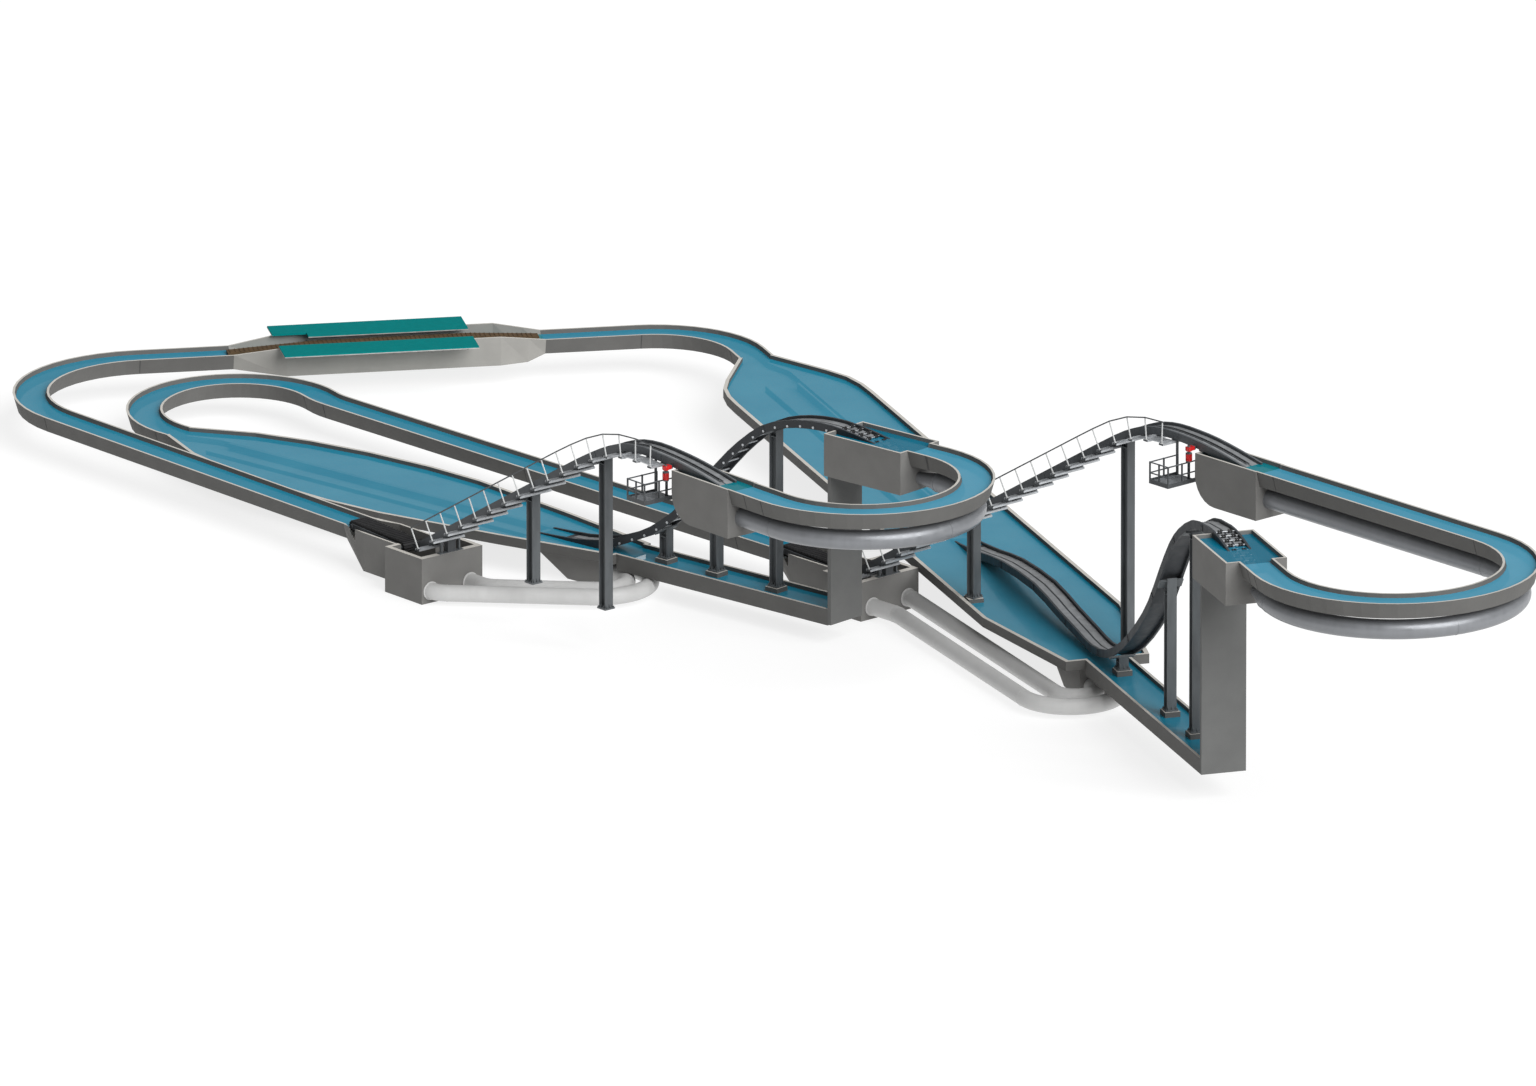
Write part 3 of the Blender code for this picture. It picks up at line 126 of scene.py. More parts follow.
# Tracks, with the ties and wheels as start, end and spacing
TRACK_HALF = 0.62
BEAM_DEPTH = 0.4
BETWEEN_BEAMS = 0.49
PLATE_TOP, PLATE_BOTTOM = 0.16, 0.22
DROP_UNDER_WATER = 3.0
DROP_1_TIES = (-3.6, 10.6, 0.9)
DROP_1_WHEELS, DROP_2_WHEELS = (11.4, 15.0, 0.55), (44.7, 48.4, 0.55)
TREAD_SPACING = 1.1
TREAD_OUTER = -1.42
TREAD_HALF_DEPTH = 0.14
TREAD_DROP = 0.1
FOOT_WITHOUT_TREADS = 0.4
LIFT_1_LAST_TREAD, LIFT_2_LAST_TREAD = 11.0, 32.15
HANDRAIL_HEIGHT = 1.15
DRIVE_REACH = 0.42
PLATFORM_REACH, PLATFORM_SIDES, PLATFORM_DROP = (2.1, 0.7), (-2.15, -0.2), 1.7

# Columns
LIFT_1_COLUMNS, LIFT_2_COLUMNS = (0.05, 5.8), (15.98, 27.35)
DROP_1_COLUMNS, DROP_2_COLUMNS = (-0.9, 2.49, 6.53), (29.05, 36.39, 40.27)
LIFT_COLUMN_FOOT, DROP_1_FOOT, DROP_2_FOOT = 0.81, 0.49, 0.87
COLUMN_SIZE, BASE_PLATE, BASE_PLATE_THICKNESS = 0.5, 0.64, 0.08
CAP_THICKNESS, CAP_HALF_LENGTH = 0.1, 0.28

# Pipes
SUCTION_RADIUS, SUCTION_Z, SUCTION_ELBOW = 0.425, -0.85, 1.2
LOW_RUN_HEADING, FAR_RUN_HEADING = -5.4, -66.3
ELEVATED_PIPE_RADIUS, ELEVATED_PIPE_DROP = 0.5, 1.58
REDUCER_RADIUS, REDUCER_LENGTH = 0.3, 1.5
SUMP_1_FRONT, SUMP_2_FRONT = -4.0, 26.0

# Suction pipes: place at the pit, line of the long run, place at the sump, and radius of the bend there
SUCTION_1_OUTER, SUCTION_1_INNER = (-1.40, -7.5, 0.6, 2.75), (1.15, -6.3, -0.6, 1.55)
SUCTION_2_OUTER, SUCTION_2_INNER = (-1.20, 2.13, 0.57, 2.5), (1.22, 3.90, -0.57, 1.05)

# Rail tops of the two lifts, from the pit up to the tank
LIFT_1_PATH = [
    (-8.81, 0.83),
    (-2.0, 4.77),
    (2.0, 7.08),
    (4.2, 8.35),
    (5.6, 9.10),
    (6.8, 9.66),
    (8.1, 10.07),
    (9.5, 10.22),
    (11.0, 10.18),
    (12.2, 10.09),
    (13.4, 9.95),
    (14.5, 9.78),
    (15.4, 9.62),
]
LIFT_2_PATH = [
    (7.4, 0.30),
    (18.0, 6.54),
    (24.0, 10.08),
    (27.0, 11.84),
    (28.3, 12.48),
    (29.4, 12.84),
    (30.6, 13.0),
    (32.0, 12.98),
    (33.4, 12.87),
    (35.0, 12.62),
    (36.6, 12.30),
]

# Rail tops of the two drops, from the pool up to the tank
DROP_1_PATH = [
    (-9.0, 0.30),
    (-6.55, 0.45),
    (-4.9, 0.72),
    (-4.0, 0.96),
    (-2.7, 1.50),
    (-1.43, 2.13),
    (-0.3, 2.93),
    (0.6, 3.72),
    (3.0, 6.33),
    (4.5, 7.78),
    (6.1, 8.95),
    (7.6, 9.51),
    (9.2, 9.80),
    (10.8, 9.87),
    (12.4, 9.72),
    (13.6, 9.52),
    (15.4, 9.15),
]
DROP_2_PATH = [
    (4.0, 0.55),
    (5.5, 0.68),
    (8.4, 1.10),
    (12.0, 1.67),
    (17.0, 1.95),
    (20.7, 1.65),
    (23.6, 1.44),
    (25.9, 1.30),
    (28.3, 1.70),
    (30.7, 2.86),
    (33.0, 4.50),
    (34.8, 6.15),
    (36.5, 8.30),
    (38.0, 10.06),
    (39.4, 11.20),
    (41.4, 12.22),
    (43.2, 12.50),
    (44.6, 12.58),
    (46.4, 12.33),
    (48.7, 11.80),
]

# Light and camera, the camera as the photograph has it
WHITE = (1.0, 1.0, 1.0, 1.0)
KEY_ENERGY, KEY_SPREAD = 3.9, 50.0
KEY_AZIMUTH, KEY_ELEVATION = 40.0, 36.0
FILL_STRENGTH = 0.3
CAMERA_LENS = 1100.0
CAMERA_DISTANCE = 236.39
CAMERA_TARGET = (0.0142, 0.786, 0.1458)
CAMERA_AZIMUTH, CAMERA_ELEVATION = -0.036, 16.832
CAMERA_CLIP = (1.0, 500.0)

# The middle of a noise, over which colours and numbers run
NOISE_LOW, NOISE_HIGH = 0.3, 0.7

UP = Vector((0.0, 0.0, 1.0))
TO_MODEL = Matrix.Scale(MODEL_SCALE, 4) @ Matrix.Translation(
    (-PLAN_CENTRE[0], -PLAN_CENTRE[1], -FOUNDATION_Z)
)


# Lines, turns and tracks


def heading_vectors(heading):
    angle = math.radians(heading)
    along = Vector((math.cos(angle), math.sin(angle)))
    return along, Vector((-along.y, along.x))


class Axis:
    """A straight line across the site."""

    def __init__(self, heading, offset=0.0, start=None):
        self.heading = heading
        self.along, self.left = heading_vectors(heading)
        self.origin = Vector(start) if start else self.left * offset
        self.run = Vector((*self.along, 0.0))
        self.side = Vector((*self.left, 0.0))

    def plan(self, s, n=0.0):
        return self.origin + self.along * s + self.left * n

    def at(self, s, n=0.0, z=0.0):
        return Vector((*self.plan(s, n), z))

    def line(self, n=0.0, reverse=False):
        """The heading of a line beside the axis, and its distance to the left of the site's origin."""
        offset = self.left.dot(self.origin) + n
        return (self.heading + 180.0, -offset) if reverse else (self.heading, offset)


STATION = Axis(STATION_HEADING, start=STATION_START)
LIFT_1 = Axis(LIFT_1_HEADING, LIFT_1_OFFSET)
DROP_1 = Axis(DROP_1_HEADING, DROP_1_OFFSET)
LIFT_2 = Axis(LIFT_2_HEADING, LIFT_2_OFFSET)
DROP_2 = Axis(DROP_2_HEADING, DROP_2_OFFSET)


def spread(first, last, count):
    """Values at even distances from first to last."""
    return [first + (last - first) * index / (count - 1) for index in range(count)]


def crossing(first, second):
    """Where two lines meet, each given by its heading and its distance to the left of the origin."""
    (_, left_a), (_, left_b) = heading_vectors(first[0]), heading_vectors(second[0])
    matrix = Matrix(((left_a.x, left_a.y), (left_b.x, left_b.y)))
    return matrix.inverted() @ Vector((first[1], second[1]))


def turn_centre(first, second, radius, side):
    shift = side * radius
    return crossing((first[0], first[1] + shift), (second[0], second[1] + shift))


def turn_path(centre, radius, start, end, step=TURN_STEP):
    """Points and headings round a turn. A heading that grows turns to the left."""
    side = 1 if end > start else -1
    steps = math.ceil(abs(end - start) / step)
    path = []
    for heading in spread(start, end, steps + 1):
        _, left = heading_vectors(heading)
        path.append((Vector(centre) - left * radius * side, heading))
    return path


def elbow(before, corner, after, radius):
    """Points round one corner of a path in plan."""
    first = (Vector(corner) - Vector(before)).normalized()
    second = (Vector(after) - Vector(corner)).normalized()
    start = math.degrees(math.atan2(first.y, first.x))
    turn = math.degrees(first.angle_signed(second)) * -1
    side = 1 if turn > 0 else -1
    reach = radius * math.tan(math.radians(abs(turn)) / 2)
    _, left = heading_vectors(start)
    centre = Vector(corner) - first * reach + left * radius * side
    return [point for point, _ in turn_path(centre, radius, start, start + turn, FINE_STEP)]


def smooth(points, steps):
    """Points along a smooth curve that passes through the given ones."""
    path = []
    for index in range(len(points) - 1):
        before = points[max(index - 1, 0)]
        first = points[index]
        second = points[index + 1]
        after = points[min(index + 2, len(points) - 1)]
        for step in range(steps):
            t = step / steps
            path.append(
                tuple(
                    q + 0.5 * t * (r - p + t * (2 * p - 5 * q + 4 * r - w + t * (3 * q - p - 3 * r + w)))
                    for p, q, r, w in zip(before, first, second, after)
                )
            )
    path.append(tuple(points[-1]))
    return path


def on_profile(profile, s):
    """Height and angle of a line of s and z at s."""
    for before, after in zip(profile, profile[1:]):
        if before[0] <= s <= after[0]:
            share = (s - before[0]) / (after[0] - before[0])
            slope = math.atan2(after[1] - before[1], after[0] - before[0])
            return before[1] + (after[1] - before[1]) * share, slope
    raise ValueError(f"s {s} is beyond the track")


class Rail:
    """A track's rail tops, as points of s and z on an axis."""

    def __init__(self, axis, profile):
        self.axis = axis
        self.side = axis.side
        self.profile = profile

    def ends(self):
        return self.profile[0][0], self.profile[-1][0]

    def slope_of(self, index):
        before = self.profile[max(index - 1, 0)]
        after = self.profile[min(index + 1, len(self.profile) - 1)]
        return math.atan2(after[1] - before[1], after[0] - before[0])

    def along(self, s):
        _, slope = on_profile(self.profile, s)
        return Vector((*(self.axis.along * math.cos(slope)), math.sin(slope)))

    def up(self, s):
        _, slope = on_profile(self.profile, s)
        return Vector((*(self.axis.along * -math.sin(slope)), math.cos(slope)))

    def at(self, s, n=0.0, up=0.0):
        """The point that lies n to the left of the rail tops' middle and up from it, square to the track."""
        height, _ = on_profile(self.profile, s)
        return self.axis.at(s, n, height) + self.up(s) * up

    def bottoms(self):
        """The line of the beams' undersides."""
        line = []
        for index, (s, z) in enumerate(self.profile):
            slope = self.slope_of(index)
            line.append((s + BEAM_DEPTH * math.sin(slope), z - BEAM_DEPTH * math.cos(slope)))
        return line

    def walk(self, start, end, spacing):
        """Places from start to end at even distances along the track."""
        fine = 400
        places = [start]
        travelled = 0.0
        before = self.at(start)
        for s in spread(start, end, fine + 1)[1:]:
            point = self.at(s)
            travelled += (point - before).length
            before = point
            if travelled >= spacing:
                places.append(s)
                travelled -= spacing
        return places

    def section_points(self, start, end, shape):
        """Rings of a section of points across and down, carried along the track from start to end."""
        rows = [(start, None)]
        rows += [(s, index) for index, (s, _) in enumerate(self.profile) if start < s < end]
        rows.append((end, None))
        rings = []
        for s, index in rows:
            height, slope = on_profile(self.profile, s)
            if index is not None:
                slope = self.slope_of(index)
            rings.append(
                [
                    self.axis.at(s + down * math.sin(slope), n, height - down * math.cos(slope))
                    for n, down in shape
                ]
            )
        return rings


LIFT_1_RAIL = Rail(LIFT_1, smooth(LIFT_1_PATH, 2))
LIFT_2_RAIL = Rail(LIFT_2, smooth(LIFT_2_PATH, 2))
DROP_1_RAIL = Rail(DROP_1, smooth(DROP_1_PATH, 2))
DROP_2_RAIL = Rail(DROP_2, smooth(DROP_2_PATH, 2))


# Materials


class Finish:
    """A material made of nodes round one Principled shader, in the model's own coordinates."""

    def __init__(self, name, roughness, metallic=0.0):
        self.material = bpy.data.materials.new(name)
        self.material.use_nodes = True
        self.tree = self.material.node_tree
        self.shader = self.tree.nodes["Principled BSDF"]
        self.shader.inputs["Roughness"].default_value = roughness
        self.shader.inputs["Metallic"].default_value = metallic
        self.place = self.node("ShaderNodeTexCoord").outputs["Object"]

    def node(self, kind, **settings):
        made = self.tree.nodes.new(kind)
        for name, value in settings.items():
            setattr(made, name, value)
        return made

    def link(self, output, into):
        self.tree.links.new(output, into)

    def noise(self, scale, detail=3.0, stretch=(1.0, 1.0, 1.0)):
        mapping = self.node("ShaderNodeMapping")
        mapping.inputs["Scale"].default_value = stretch
        self.link(self.place, mapping.inputs["Vector"])
        made = self.node("ShaderNodeTexNoise")
        made.inputs["Scale"].default_value = scale
        made.inputs["Detail"].default_value = detail
        self.link(mapping.outputs["Vector"], made.inputs["Vector"])
        return made.outputs["Fac"]

    def ramp(self, factor, low, high):
        """A colour that runs from low to high over the middle of a noise."""
        made = self.node("ShaderNodeValToRGB")
        stops = ((NOISE_LOW, low), (NOISE_HIGH, high))
        for element, (position, colour) in zip(made.color_ramp.elements, stops):
            element.position = position
            element.color = (*colour, 1.0)
        self.link(factor, made.inputs["Fac"])
        return made.outputs["Color"]

    def between(self, factor, first, second, low=NOISE_LOW, high=NOISE_HIGH):
        """A number that runs from first to second as factor runs from low to high."""
        made = self.node("ShaderNodeMapRange")
        for name, value in zip(("From Min", "From Max", "To Min", "To Max"), (low, high, first, second)):
            made.inputs[name].default_value = value
        self.link(factor, made.inputs["Value"])
        return made.outputs["Result"]

    def mix(self, factor, first, second):
        made = self.node("ShaderNodeMix", data_type="RGBA")
        self.link(factor, made.inputs["Factor"])
        self.link(first, made.inputs["A"])
        self.link(second, made.inputs["B"])
        return made.outputs["Result"]

    def top_light_mask(self):
        """1 on faces that look up, 0 on walls: the mask for painted top light."""
        geometry = self.node("ShaderNodeNewGeometry")
        split = self.node("ShaderNodeSeparateXYZ")
        self.link(geometry.outputs["Normal"], split.inputs["Vector"])
        return self.between(split.outputs["Z"], 0.0, 1.0, 0.75, 0.95)

    def colour(self, output):
        self.link(output, self.shader.inputs["Base Color"])

    def roughness(self, output):
        self.link(output, self.shader.inputs["Roughness"])

    def bump(self, height, strength, distance):
        made = self.node("ShaderNodeBump")
        made.inputs["Strength"].default_value = strength
        made.inputs["Distance"].default_value = distance
        self.link(height, made.inputs["Height"])
        self.link(made.outputs["Normal"], self.shader.inputs["Normal"])


def shaded(colour, factor):
    return tuple(value * factor for value in colour)


def concrete(name, wall, top):
    """Cast concrete: mottled walls with fine pores, and tops painted far paler than the walls as painted top
    light.
    """
    made = Finish(name, 0.85)
    patches = made.noise(9.0, 5.0)
    walls = made.ramp(patches, shaded(wall, 0.94), shaded(wall, 1.06))
    # The top colour is painted top light: faces that look up are made pale whatever the lamps do.
    tops = made.ramp(patches, shaded(top, 0.94), shaded(top, 1.05))
    made.colour(made.mix(made.top_light_mask(), walls, tops))
    grain = made.noise(420.0, 4.0)
    made.roughness(made.between(grain, 0.75, 0.92))
    made.bump(grain, 0.25, 0.0006)
    return made.material


def painted_steel(name, colour, roughness, metallic, tops=1.0, streak=0.16):
    """Coated steel: streaks down the faces, slight orange peel, and tops made paler by the tops factor as
    painted top light.
    """
    made = Finish(name, roughness, metallic)
    streaks = made.noise(26.0, 4.0, (1.0, 1.0, 0.25))
    low, high = shaded(colour, 1.0 - streak), shaded(colour, 1.0 + streak)
    faces = made.ramp(streaks, low, high)
    # Faces that look up take the streaked colour times the tops factor: painted top light.
    painted_lit_tops = made.ramp(streaks, shaded(low, tops), shaded(high, tops))
    made.colour(made.mix(made.top_light_mask(), faces, painted_lit_tops))
    peel = made.noise(600.0, 2.0)
    made.roughness(made.between(streaks, roughness - 0.07, roughness + 0.1))
    made.bump(peel, 0.12, 0.0004)
    return made.material


def speckled(name, colour, roughness, metallic, scale, contrast, depth, gloss=0.5):
    """A surface with a fine even grain, such as grip coating, rubber or galvanising."""
    made = Finish(name, roughness, metallic)
    made.shader.inputs["Specular IOR Level"].default_value = gloss
    broad = made.noise(scale / 12, 3.0)
    grain = made.noise(scale, 3.0)
    made.colour(made.ramp(broad, shaded(colour, 1.0 - contrast), shaded(colour, 1.0 + contrast)))
    made.roughness(made.between(grain, roughness - 0.06, roughness + 0.08))
    made.bump(grain, 0.3, depth)
    return made.material


def water(name, shallow, deep, alpha):
    """Still water: a tint that drifts a little, over a fine ripple."""
    made = Finish(name, 0.12)
    made.shader.inputs["Alpha"].default_value = alpha
    made.shader.inputs["IOR"].default_value = 1.33
    drift = made.noise(3.0, 3.0)
    made.colour(made.ramp(drift, deep, shallow))
    ripple = made.noise(55.0, 3.0)
    made.bump(ripple, 0.25, 0.002)
    made.material.surface_render_method = "BLENDED"
    return made.material


# The pale top colour is painted top light for the concrete's upward faces.
PAINTED_TOP_LIGHT = (0.56, 0.54, 0.50)
CHANNEL_CONCRETE = concrete("channel_concrete", (0.096, 0.095, 0.091), PAINTED_TOP_LIGHT)
TANK_CONCRETE = concrete("tank_concrete", (0.150, 0.148, 0.142), PAINTED_TOP_LIGHT)
# The station's concrete is paler than the channels' to paint light into the shadow under the platforms:
# painted light.
STATION_CONCRETE_PAINTED_LIGHT = concrete("station_concrete_painted_light", (0.250, 0.245, 0.230), PAINTED_TOP_LIGHT)
# The towers' paler top colour is painted top light as well.
TOWER_CONCRETE = concrete("tower_concrete", (0.110, 0.112, 0.110), (0.45, 0.44, 0.42))
# The tops factors below paint top light on the steel's upward faces.
COLUMN_STEEL = painted_steel("column_steel", (0.100, 0.109, 0.115), 0.5, 0.35, tops=1.8)
LIFT_STEEL = painted_steel("lift_track_steel", (0.068, 0.074, 0.080), 0.5, 0.35, tops=2.0)
DROP_STEEL = painted_steel("drop_track_steel", (0.026, 0.029, 0.033), 0.5, 0.3, tops=2.2)
PLATFORM_STEEL = painted_steel("platform_frame_steel", (0.060, 0.065, 0.070), 0.5, 0.3, tops=4.0)
LINER = painted_steel("worn_track_floor", (0.26, 0.27, 0.28), 0.42, 0.4, tops=1.3)
HIGH_PIPE = painted_steel("high_pipe_steel", (0.204, 0.212, 0.225), 0.36, 0.35, streak=0.05)
LOW_PIPE = painted_steel("pale_pipe_coating", (0.52, 0.52, 0.515), 0.5, 0.0, streak=0.03)
TEAL_GRIP = speckled("teal_grip_deck", (0.0, 0.19, 0.19), 0.65, 0.0, 500.0, 0.06, 0.0006, gloss=0.05)
TEAL_EDGE = painted_steel("deck_edge_angle", (0.42, 0.40, 0.39), 0.5, 0.3)
BELT_BROWN = speckled("conveyor_brown", (0.085, 0.048, 0.018), 0.75, 0.0, 300.0, 0.2, 0.0008)
RUBBER = speckled("belt_rubber", (0.012, 0.012, 0.013), 0.7, 0.0, 350.0, 0.3, 0.0008)
RED_PAINT = painted_steel("drive_red", (0.50, 0.012, 0.012), 0.35, 0.0)
GALVANISED = speckled("galvanised", (0.50, 0.52, 0.54), 0.4, 0.5, 260.0, 0.12, 0.0004)
PALE_POST = speckled("pale_post_coating", (0.52, 0.53, 0.53), 0.5, 0.1, 260.0, 0.08, 0.0003)
DARK_RAIL = painted_steel("dark_handrail", (0.07, 0.075, 0.08), 0.45, 0.3)
# This near-black serves the real joint seals, and also the platform brackets as painted shadow.
SEAL_AND_SHADOW_BLACK = speckled("joint_seal_and_painted_shadow", (0.045, 0.045, 0.045), 0.8, 0.0, 300.0, 0.1, 0.0004)
POOL_WATER = water("pool_water", (0.024, 0.335, 0.510), (0.010, 0.300, 0.475), 0.72)
HIGH_WATER = water("high_channel_water", (0.075, 0.430, 0.640), (0.062, 0.390, 0.590), 0.74)
LIFT_WATER = water("lift_tank_water", (0.0, 0.260, 0.320), (0.0, 0.230, 0.290), 0.80)
# The drop tanks' water is darker than the pools' as painted shade from the track over it.
DROP_WATER_PAINTED_SHADE = water("drop_tank_water_painted_shade", (0.0, 0.240, 0.390), (0.0, 0.210, 0.345), 0.70)


# Pieces


class Piece:
    """One named piece of the scene, gathered from shapes that are given on the site in real metres."""

    def __init__(self, name, material, slot=None, stands_for=()):
        self.name = name
        self.material = material
        self.slot = slot
        self.stands_for = stands_for
        self.mesh = bmesh.new()

    def block(self, centre, along, up, size):
        """A bar round a point, with its length along one direction and its height near another."""
        x = Vector(along).normalized()
        y = Vector(up).cross(x).normalized()
        turn = Matrix((x, y, x.cross(y))).transposed().to_4x4()
        matrix = Matrix.Translation(centre) @ turn @ Matrix.Diagonal((*size, 1.0))
        bmesh.ops.create_cube(self.mesh, size=1.0, matrix=matrix)

    def bar(self, start, end, width, height, up=UP):
        self.block((start + end) / 2, end - start, up, ((end - start).length, width, height))

    def rod(self, start, end, radius, sides=12):
        run = end - start
        turn = run.to_track_quat("Z", "Y").to_matrix().to_4x4()
        bmesh.ops.create_cone(
            self.mesh,
            cap_ends=True,
            segments=sides,
            radius1=radius,
            radius2=radius,
            depth=run.length,
            matrix=Matrix.Translation((start + end) / 2) @ turn,
        )

    def pin(self, centre, direction, half, radius, sides=12):
        """A rod that reaches half its length to either side of a point."""
        self.rod(centre - direction * half, centre + direction * half, radius, sides)

    def loft(self, rings):
        """One closed body through a row of rings that have the same number of points."""
        rows = [[self.mesh.verts.new(point) for point in ring] for ring in rings]
        count = len(rows[0])
        for first, second in zip(rows, rows[1:]):
            for index in range(count):
                after = (index + 1) % count
                self.mesh.faces.new((first[index], first[after], second[after], second[index]))
        self.mesh.faces.new(rows[0])
        self.mesh.faces.new(rows[-1])

    def tube(self, points, radii, sides=40):
        """A round pipe through level points, with a radius for each."""
        rings = []
        for index, (point, radius) in enumerate(zip(points, radii)):
            before = points[max(index - 1, 0)]
            after = points[min(index + 1, len(points) - 1)]
            run = (after - before).normalized()
            side = UP.cross(run).normalized()
            top = run.cross(side)
            ring = []
            for corner in range(sides):
                angle = math.tau * corner / sides
                ring.append(point + (side * math.cos(angle) + top * math.sin(angle)) * radius)
            rings.append(ring)
        self.loft(rings)

    def strip(self, right, left):
        """An open sheet between two rows of points, facing up."""
        first = [self.mesh.verts.new(point) for point in right]
        second = [self.mesh.verts.new(point) for point in left]
        for index in range(len(first) - 1):
            self.mesh.faces.new((first[index], first[index + 1], second[index + 1], second[index]))

    def finish(self, bevel=0.0):
        closed = [face for face in self.mesh.faces if not any(edge.is_boundary for edge in face.edges)]
        if closed:
            bmesh.ops.recalc_face_normals(self.mesh, faces=closed)
        bmesh.ops.transform(self.mesh, matrix=TO_MODEL, verts=self.mesh.verts)
        for face in self.mesh.faces:
            face.smooth = True
        for edge in self.mesh.edges:
            edge.smooth = edge.calc_face_angle(0.0) < SHARP_ANGLE
        mesh = bpy.data.meshes.new(self.name)
        self.mesh.to_mesh(mesh)
        self.mesh.free()
        mesh.materials.append(self.material)
        made = bpy.data.objects.new(self.name, mesh)
        bpy.context.scene.collection.objects.link(made)
        if bevel:
            modifier = made.modifiers.new("soft_edges", "BEVEL")
            modifier.width = bevel * MODEL_SCALE
            modifier.segments = 2
            modifier.limit_method = "ANGLE"
            modifier.angle_limit = SHARP_ANGLE
        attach(made, "root")
        if self.stands_for:
            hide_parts(*self.stands_for)
        return made


# Water


def sheet_along(name, material, paths, half, z):
    """Still water along paths of points and headings."""
    piece = Piece(name, material)
    for path in paths:
        rows = [(point, heading_vectors(heading)[1] * half) for point, heading in path]
        right = [Vector((*(point - side), z)) for point, side in rows]
        piece.strip(right, [Vector((*(point + side), z)) for point, side in rows])
    piece.finish()


def sheet_on(name, material, axis, rows, z):
    """Still water on an axis, from rows of s and half width."""
    piece = Piece(name, material)
    piece.strip([axis.at(s, -half, z) for s, half in rows], [axis.at(s, half, z) for s, half in rows])
    piece.finish()


def left_turn_path():
    left = STATION.line(reverse=True)
    centre = turn_centre(left, LIFT_1.line(), LEFT_TURN_RADIUS, 1)
    turn = turn_path(centre, LEFT_TURN_RADIUS, left[0], LIFT_1_HEADING + 360.0)
    return [(STATION.plan(STATION_LEFT_END), left[0])] + turn


def return_path():
    back = DROP_2.line(reverse=True)
    left = STATION.line(reverse=True)
    centre = turn_centre(back, left, RETURN_TURN_RADIUS, 1)
    turn = turn_path(centre, RETURN_TURN_RADIUS, back[0], left[0])
    return [(DROP_2.plan(POOL_2_START), back[0])] + turn + [(STATION.plan(STATION_RIGHT_END), left[0])]


def loop_path():
    """The loop leaves pool 1 on a wide bend, tightens, and swings back on to the second lift's axis."""
    away = DROP_1.line(reverse=True)
    first_centre = DROP_1.plan(POOL_1_START, LOOP_RADIUS_FIRST)
    quarter = away[0] - 90.0
    _, left_of_quarter = heading_vectors(quarter)
    second_centre = first_centre + left_of_quarter * (LOOP_RADIUS_FIRST - LOOP_RADIUS_SECOND)
    short = LOOP_RADIUS_SECOND - (LIFT_2.line()[1] - LIFT_2.left.dot(second_centre))
    beyond = math.degrees(math.acos(1.0 - short / (LOOP_RADIUS_SECOND + LOOP_RADIUS_COUNTER)))
    crossing_heading = LIFT_2_HEADING - beyond
    _, left_there = heading_vectors(crossing_heading)
    counter_centre = second_centre + left_there * (LOOP_RADIUS_SECOND + LOOP_RADIUS_COUNTER)
    path = turn_path(first_centre, LOOP_RADIUS_FIRST, away[0], quarter)
    path += turn_path(second_centre, LOOP_RADIUS_SECOND, quarter, crossing_heading)[1:]
    counter = turn_path(counter_centre, LOOP_RADIUS_COUNTER, crossing_heading, LIFT_2_HEADING)
    return path + counter[1:], counter


class HighRun:
    """A high channel round one turn, from a lift's tank to a drop's tank. Side 1 turns to the left."""

    def __init__(self, number, lift, lift_tank, drop, drop_tank, drop_tank_half, radius, side, rim):
        self.number = number
        self.lift, self.drop = lift, drop
        self.lift_tank, self.drop_tank = lift_tank, drop_tank
        self.drop_tank_half = drop_tank_half
        self.radius, self.side = radius, side
        self.rim = rim

    def turn(self, step=TURN_STEP):
        first = self.lift.line()
        second = self.drop.line(reverse=True)
        end = second[0] if self.side > 0 else second[0] - 360.0
        centre = turn_centre(first, second, self.radius, self.side)
        return turn_path(centre, self.radius, first[0], end, step)

    def path(self, reach=0.0):
        """The channel's middle line, which ends a reach inside both tanks."""
        turn = self.turn()
        start = (self.lift.plan(self.lift_tank[1] - reach), turn[0][1])
        return [start] + turn + [(self.drop.plan(self.drop_tank[1] - reach), turn[-1][1])]


LEFT_TURN = left_turn_path()
RETURN_TURN = return_path()
LOOP, COUNTER_BEND = loop_path()
HIGH_RUNS = (
    HighRun(1, LIFT_1, TANK_1, DROP_1, TANK_2, TANK_2_HALF, ELEVATED_TURN_RADIUS_1, 1, RIM_LIFT_1),
    HighRun(2, LIFT_2, TANK_3, DROP_2, TANK_4, TANK_4_HALF, ELEVATED_TURN_RADIUS_2, -1, RIM_LIFT_2),
)


def station_water():
    level = RIM_STATION - WATER_DROP
    to_lift = LEFT_TURN + [(LIFT_1.plan(LIFT_1_RAMP), LIFT_1_HEADING)]
    sheet_along("water_station_loop", POOL_WATER, (to_lift, RETURN_TURN), GROUND_WATER_HALF, level)
    rows = [
        (STATION_LEFT_END, GROUND_WATER_HALF),
        (TROUGH_START, TROUGH_WATER_HALF),
        (TROUGH_END, TROUGH_WATER_HALF),
        TROUGH_TAPER_CORNER,
        (STATION_RIGHT_END, GROUND_WATER_HALF),
    ]
    sheet_on("water_station_trough", LIFT_WATER, STATION, rows, level)


def loop_water():
    path = LOOP + [(LIFT_2.plan(LIFT_2_RAMP), LIFT_2_HEADING)]
    sheet_along("water_loop", POOL_WATER, (path,), GROUND_WATER_HALF, RIM_LOWER - WATER_DROP)


